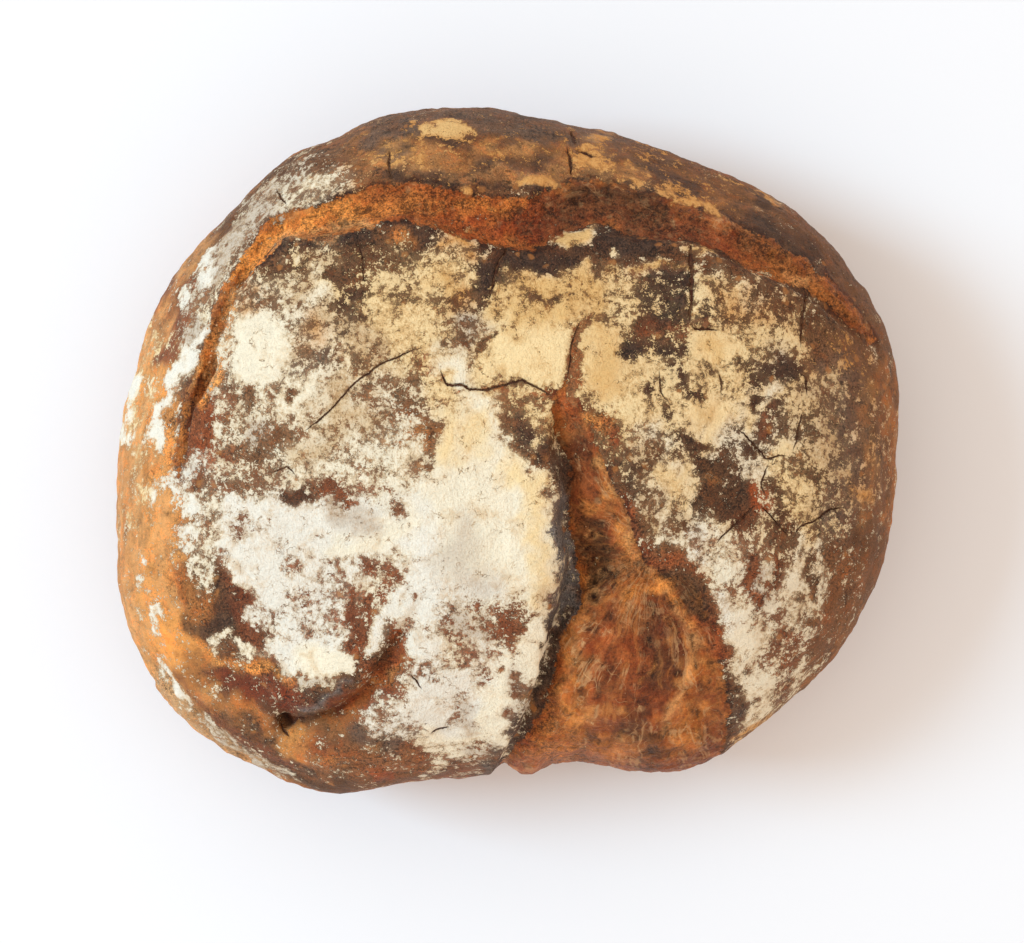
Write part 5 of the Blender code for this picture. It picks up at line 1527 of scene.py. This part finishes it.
def crust_inputs(board):
    """What the mesh keeps, and the noises that the layers of the crust are made from."""
    at = SimpleNamespace()
    place = board.place()
    # lift is the fine relief's height, which the crust and dough use for painted light on bumps and shade
    # in pits
    at.flour, at.torn, at.lift = board.parts(board.attribute("cover", "Vector"))
    at.crack_side, at.crack_weight, calm = board.parts(board.attribute("crack", "Vector"))
    at.crispness = 1 - calm
    at.streaky = board.attribute("streaky", "Fac")
    at.fibres = board.attribute("fibres", "Vector")
    flowing = board.warped(place, 9, 7)
    at.broad = board.noise(place, 12, 3)
    at.patchy = board.noise(flowing, 4, 6, 0.68)
    at.fine = board.noise(place, 1.0, 3, 0.65)
    at.grit = board.noise(place, 0.45, 2, 0.6)
    at.streaks = board.noise(at.fibres, 1.5, 4, 0.6)
    at.warmth = board.noise(flowing, 5, 4, 0.65)
    at.clumps = board.noise(flowing, 6, 6, 0.64)
    at.dusting = board.noise(place, 1.7, 5, 0.68)
    at.drifts = board.noise(flowing, 9, 4, 0.6)
    at.veins = abs(board.noise(board.warped(place, 5, 5), 5, 4, 0.6))
    at.loops = abs(board.noise(board.warped(place, 12, 9), 6.5, 1.5, 0.45))
    spots, kind = board.cells(board.warped(place, 3, 2.6), 4.4)
    at.ovals = (1 - board.step(spots, 0.14, 0.3)) * board.step(kind, 0.66, 0.74)
    at.inside = board.step(at.torn + at.patchy * 5.0 + at.fine * 2.0, -0.3, 0.3)
    return at


def browned_crust(board, at, colours):
    """Mottled crust with charred and rusty patches, streaks, amber ovals and scorched tear edges."""
    streaked = at.streaks * (0.5 + at.streaky * 2.2) * (at.crispness * 0.65 + 0.35)
    mottled = (at.fine * 4.6 + at.grit * 3.0 + at.dusting * 1.4) * at.crispness
    mottled = at.patchy * (at.crispness + 1) * 1.3 + mottled
    # at.lift makes the crust lighter on its bumps and darker in its pits and cracks: painted light and
    # shade
    shade = board.maths("MAXIMUM", 1.06 + at.broad + mottled + streaked + at.lift * 0.2, 0.3)
    crust = board.scaled(board.attribute("crust_tint", "Color"), shade)
    charred = board.step(at.patchy + at.broad * 0.4 + at.fine * 0.8, 0.01, 0.09) * at.crispness * 0.7
    crust = board.blend(charred, crust, board.tinged(crust, CHARRED))
    banded = board.step(at.streaky, 0.85, 1.6)
    dark_streaks = board.step(at.streaks, 0.02, 0.1) * banded * 0.8
    crust = board.blend(dark_streaks, crust, opaque(colours.char))
    light_streaks = board.step(at.streaks * -1, 0.03, 0.12) * banded * 0.6
    crust = board.blend(light_streaks, crust, opaque(colours.gold))
    rusty = board.step(at.warmth + at.grit * 0.5, 0.03, 0.12) * 0.55
    crust = board.blend(rusty, crust, board.tinged(crust, RUSTY))
    crust = board.blend(at.ovals * 0.6, crust, opaque(colours.amber))
    rim = 1 - board.step(abs(at.torn + at.patchy * 5.0 + 0.5), 0.3, 1.3)
    burnt = rim * board.step(at.warmth, -0.08, 0.05) * 0.8
    return board.blend(burnt, crust, board.tinged(crust, SCORCHED))


def torn_dough(board, at, colours):
    """Fibrous dough, dark in patches, with an orange sheen, pale outlines, curls and ovals."""
    shade = 1.1 + at.streaks * (0.7 + at.streaky * 2.2) + at.fine * (3.4 - at.streaky * 2.2)
    shade = shade + at.patchy * 3.4 + (at.grit + at.dusting) * (3.6 - at.streaky * 3.6)
    # at.lift makes the dough lighter on its bumps and darker in its pits: painted light and shade
    shade = board.maths("MAXIMUM", shade + at.broad * 1.2 + at.lift * 0.3, 0.3)
    dough = board.tinged(board.scaled(board.attribute("torn_tint", "Color"), shade), TORN_WARMTH)
    dark = at.patchy + at.warmth * 0.8 + at.streaks * 0.4 + at.dusting * 0.5
    dough = board.blend(board.step(dark, -0.01, 0.1) * 0.7, dough, board.tinged(dough, TORN_DARK))
    sheen = board.step(at.streaks, 0.02, 0.16) * board.step(at.broad, -0.12, 0.1)
    dough = board.blend(sheen * at.streaky * 0.4, dough, opaque(colours.orange))
    outlines = 1 - board.step(abs(board.noise(at.fibres, 2.4, 3, 0.62)), 0.01, 0.045)
    outlines = outlines * board.step(at.drifts, -0.02, 0.08)
    curls = (1 - board.step(at.loops, 0.002, 0.014)) * board.step(at.drifts, -0.04, 0.04)
    paleness = outlines * at.streaky * 0.5 + curls * at.streaky * 0.4 + at.ovals * 0.22
    return board.blend(paleness, dough, opaque(colours.tan))


def flour_layer(board, at):
    """The flour's colour, and how much of it covers the crust, thickly or as a dusting or a film."""
    firm = board.step(at.flour, 0.66, 0.86)
    threshold = at.clumps * 2.9 + (at.dusting * 2.6 + at.grit * 1.5 + at.fine * 0.6) * (1.3 - firm)
    threshold = threshold - at.lift * 0.12 + at.streaks * at.streaky * 1.3
    veined = (1 - board.step(at.veins, 0.0, 0.022)) * board.step(at.warmth, -0.02, 0.08)
    threshold = threshold + veined * 0.8
    amount = (at.flour - 0.47) * 1.7 - at.inside * 0.5
    solid = board.step(amount - threshold, -0.06, 0.12)
    likely = board.step(amount - threshold * 0.5, -0.75, 0.45)
    dust = board.step(at.fine * 1.4 + at.grit * 1.5 + likely * 0.62 - 0.54, -0.12, 0.12)
    thick = board.step(amount - threshold - at.drifts * 1.6, -0.15, 0.75)
    film = board.step(amount - at.clumps * 1.5 - at.patchy * 0.8 - at.grit * 0.8, -0.5, 0.5)
    thinly = board.maths("MAXIMUM", dust * at.crispness * 0.8, film * at.crispness * 0.24)
    cover = board.maths("MAXIMUM", solid * (0.86 + thick * 0.13), thinly)
    shade = 1.11 + at.drifts * 0.25 + at.clumps * 0.25 + at.fine * 0.35 + at.grit * 0.4
    powder = board.scaled(board.attribute("flour_tint", "Color"), shade)
    return board.blend(thick, board.tinged(powder, THIN_FLOUR), powder), cover, solid


def crust_material(colours, sizes):
    """Browned crust, torn dough and flour, from the strokes stored on the mesh."""
    board = Board("floured_crust")
    at = crust_inputs(board)
    bare = board.blend(at.inside, browned_crust(board, at, colours), torn_dough(board, at, colours))
    powder, cover, solid = flour_layer(board, at)
    floured = board.blend(cover, bare, powder)
    # The cracks get painted shade in their grooves: the crack tint, mixed with umber by noise
    edge = abs(at.crack_side + at.fine * 1.7 + at.grit * 1.2)
    crack = (1 - board.step(edge, 0.35, 1.1)) * at.crack_weight
    browned = board.step(at.warmth + at.fine, -0.04, 0.12)
    crack_tint = board.blend(browned, opaque(colours.crack), opaque(colours.umber))
    colour = board.blend(crack, floured, crack_tint)
    roughness = 0.66 + cover * 0.3 + at.patchy * 0.2 - at.inside * 0.12
    height = at.fine + at.patchy * 0.6 + at.clumps * 0.8 + at.grit * 0.5 + at.streaks * 0.6 * at.inside
    height = height + solid * 0.25 - crack + at.dusting * at.inside * (2.4 - at.streaky * 2.4)
    material = board.finish(colour, roughness, height, sizes.grain_height * GRAIN_BUMP)
    board.shader.inputs["Specular IOR Level"].default_value = CRUST_SHINE
    return material


def strand_material(colour):
    """The matte finish of a strand of dough, with a little variation."""
    board = Board("gluten_strands")
    place = board.place()
    fine = board.noise(place, 0.8, 3, 0.6)
    broad = board.noise(place, 4, 2)
    tinted = board.scaled(colour, 1 + (fine + broad) * 0.5)
    return board.finish(tinted, 0.6 + fine * 0.1, fine, 0.2 * MM)


def place_on_loaf(loaf, x, y):
    """The crust's point and normal under a seen place."""
    eye = Vector((*EYE_PLACE, EYE_HEIGHT))
    aim = Vector((x * MM, y * MM, WIDEST_HEIGHT)) - eye
    hit, point, normal, _ = loaf.ray_cast(eye, aim.normalized())
    if not hit:
        raise RuntimeError(f"no crust is seen at {x}, {y}")
    return point, normal


def tube(shape, points, radii, sides):
    """A closed tube through points, with a radius at each."""
    rings = []
    for index, point in enumerate(points):
        ahead = points[min(index + 1, len(points) - 1)] - points[max(index - 1, 0)]
        turn = ahead.to_track_quat("Z", "Y")
        ring = []
        for side in range(sides):
            angle = 2 * math.pi * side / sides
            offset = turn @ Vector((math.cos(angle), math.sin(angle), 0)) * radii[index]
            ring.append(shape.verts.new(point + offset))
        rings.append(ring)
    for ring, after in zip(rings[:-1], rings[1:]):
        for side in range(sides):
            other = (side + 1) % sides
            shape.faces.new((ring[side], ring[other], after[other], after[side]))
    shape.faces.new(reversed(rings[0]))
    shape.faces.new(rings[-1])


def add_piece(name, mesh, material):
    """Add a smooth piece of the loaf."""
    mesh.materials.append(material)
    mesh.shade_smooth()
    piece = bpy.data.objects.new(name, mesh)
    bpy.context.scene.collection.objects.link(piece)
    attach(piece, "root")
    return piece


class BREAD_OT_crust(bpy.types.Operator):
    """Add the loaf's crust, torn dough and flour as one skin round the whole loaf"""

    bl_idname = "bread.crust"
    bl_label = "Crust"

    def execute(self, context):
        scene = context.scene
        mesh = divided_body()
        shape_crust(mesh, scene.bread_tints, scene.bread_sizes)
        crust = add_piece("crust", mesh, crust_material(scene.bread_tints, scene.bread_sizes))
        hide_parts("loaf")
        return {"FINISHED"}


class BREAD_OT_strands(bpy.types.Operator):
    """Add the gluten strands that bridge the left tear"""

    bl_idname = "bread.strands"
    bl_label = "Gluten strands"

    def execute(self, context):
        loaf = bpy.data.objects["crust"]
        context.view_layer.update()
        shape = bmesh.new()
        for start, end, sag in STRANDS:
            first = place_on_loaf(loaf, *start)[0]
            last = place_on_loaf(loaf, *end)[0]
            points = []
            radii = []
            for index in range(STRAND_STEPS + 1):
                share = index / STRAND_STEPS
                drop = 4 * share * (1 - share)
                points.append(first.lerp(last, share) - Vector((0, 0, sag * MM * drop)))
                radii.append((STRAND_RADIUS - STRAND_THINNING * drop) * MM)
            tube(shape, points, radii, STRAND_SIDES)
        tint = np.array(context.scene.bread_tints.tan) / context.scene.bread_sizes.exposure
        add_piece("gluten_strands", mesh_from("gluten_strands", shape), strand_material(tint.tolist()))
        return {"FINISHED"}


class BREAD_OT_stage(bpy.types.Operator):
    """Add the plain floor, the soft light and the camera straight above"""

    bl_idname = "bread.stage"
    bl_label = "Stage"

    def execute(self, context):
        scene = context.scene
        settings = scene.bread_stage
        shape = bmesh.new()
        bmesh.ops.create_grid(shape, x_segments=4, y_segments=4, size=FLOOR_SIDE / 2)
        mesh = mesh_from("floor", shape)
        board = Board("pale_floor")
        board.shader.inputs["Base Color"].default_value = opaque(settings.floor_tint)
        board.shader.inputs["Roughness"].default_value = FLOOR_ROUGHNESS
        board.shader.inputs["Specular IOR Level"].default_value = FLOOR_SHINE
        mesh.materials.append(board.material)
        floor = bpy.data.objects.new("floor", mesh)
        scene.collection.objects.link(floor)
        self.add_light(scene, settings)
        camera = bpy.data.objects.new("camera", bpy.data.cameras.new("camera"))
        camera.data.sensor_width = SENSOR_WIDTH
        camera.data.lens = CAMERA_LENS
        camera.location = (*EYE_PLACE, EYE_HEIGHT)
        scene.collection.objects.link(camera)
        scene.camera = camera
        scene.view_settings.view_transform = "Standard"
        return {"FINISHED"}

    def add_light(self, scene, settings):
        """One large soft light at the upper left, and an even sky."""
        light = bpy.data.lights.new("key", "AREA")
        light.energy = settings.key_power
        light.shape = "SQUARE"
        light.size = settings.key_size
        light.color = settings.key_tint
        key = bpy.data.objects.new("key", light)
        key.location = KEY_PLACE
        aim = Vector(KEY_AIM) - key.location
        key.rotation_euler = aim.to_track_quat("-Z", "Y").to_euler()
        key.visible_camera = False
        scene.collection.objects.link(key)
        world = bpy.data.worlds.new("sky")
        world.use_nodes = True
        background = world.node_tree.nodes["Background"]
        background.inputs["Color"].default_value = opaque(settings.sky_tint)
        background.inputs["Strength"].default_value = settings.world_strength
        scene.world = world


class BREAD_PT_panel(bpy.types.Panel):
    """The loaf's pieces, sizes and colours"""

    bl_label = "No-knead bread"
    bl_idname = "BREAD_PT_panel"
    bl_space_type = "VIEW_3D"
    bl_region_type = "UI"
    bl_category = "Bread"

    def draw(self, context):
        column = self.layout.column()
        for operator in OPERATORS:
            column.operator(operator.bl_idname)
        for group in (context.scene.bread_sizes, context.scene.bread_stage, context.scene.bread_tints):
            column.separator()
            for name in group.__annotations__:
                column.prop(group, name)


OPERATORS = (BREAD_OT_crust, BREAD_OT_strands, BREAD_OT_stage)
GROUPS = {"bread_tints": BreadTints, "bread_sizes": BreadSizes, "bread_stage": StageSettings}


def register():
    for group in GROUPS.values():
        bpy.utils.register_class(group)
    for name, group in GROUPS.items():
        setattr(bpy.types.Scene, name, PointerProperty(type=group))
    for item in (*OPERATORS, BREAD_PT_panel):
        bpy.utils.register_class(item)


def unregister():
    for item in (BREAD_PT_panel, *OPERATORS):
        bpy.utils.unregister_class(item)
    for name in GROUPS:
        delattr(bpy.types.Scene, name)
    for group in GROUPS.values():
        bpy.utils.unregister_class(group)


def main():
    register()
    bpy.ops.bread.crust()
    bpy.ops.bread.strands()
    bpy.ops.bread.stage()


if __name__ == "__main__":
    main()
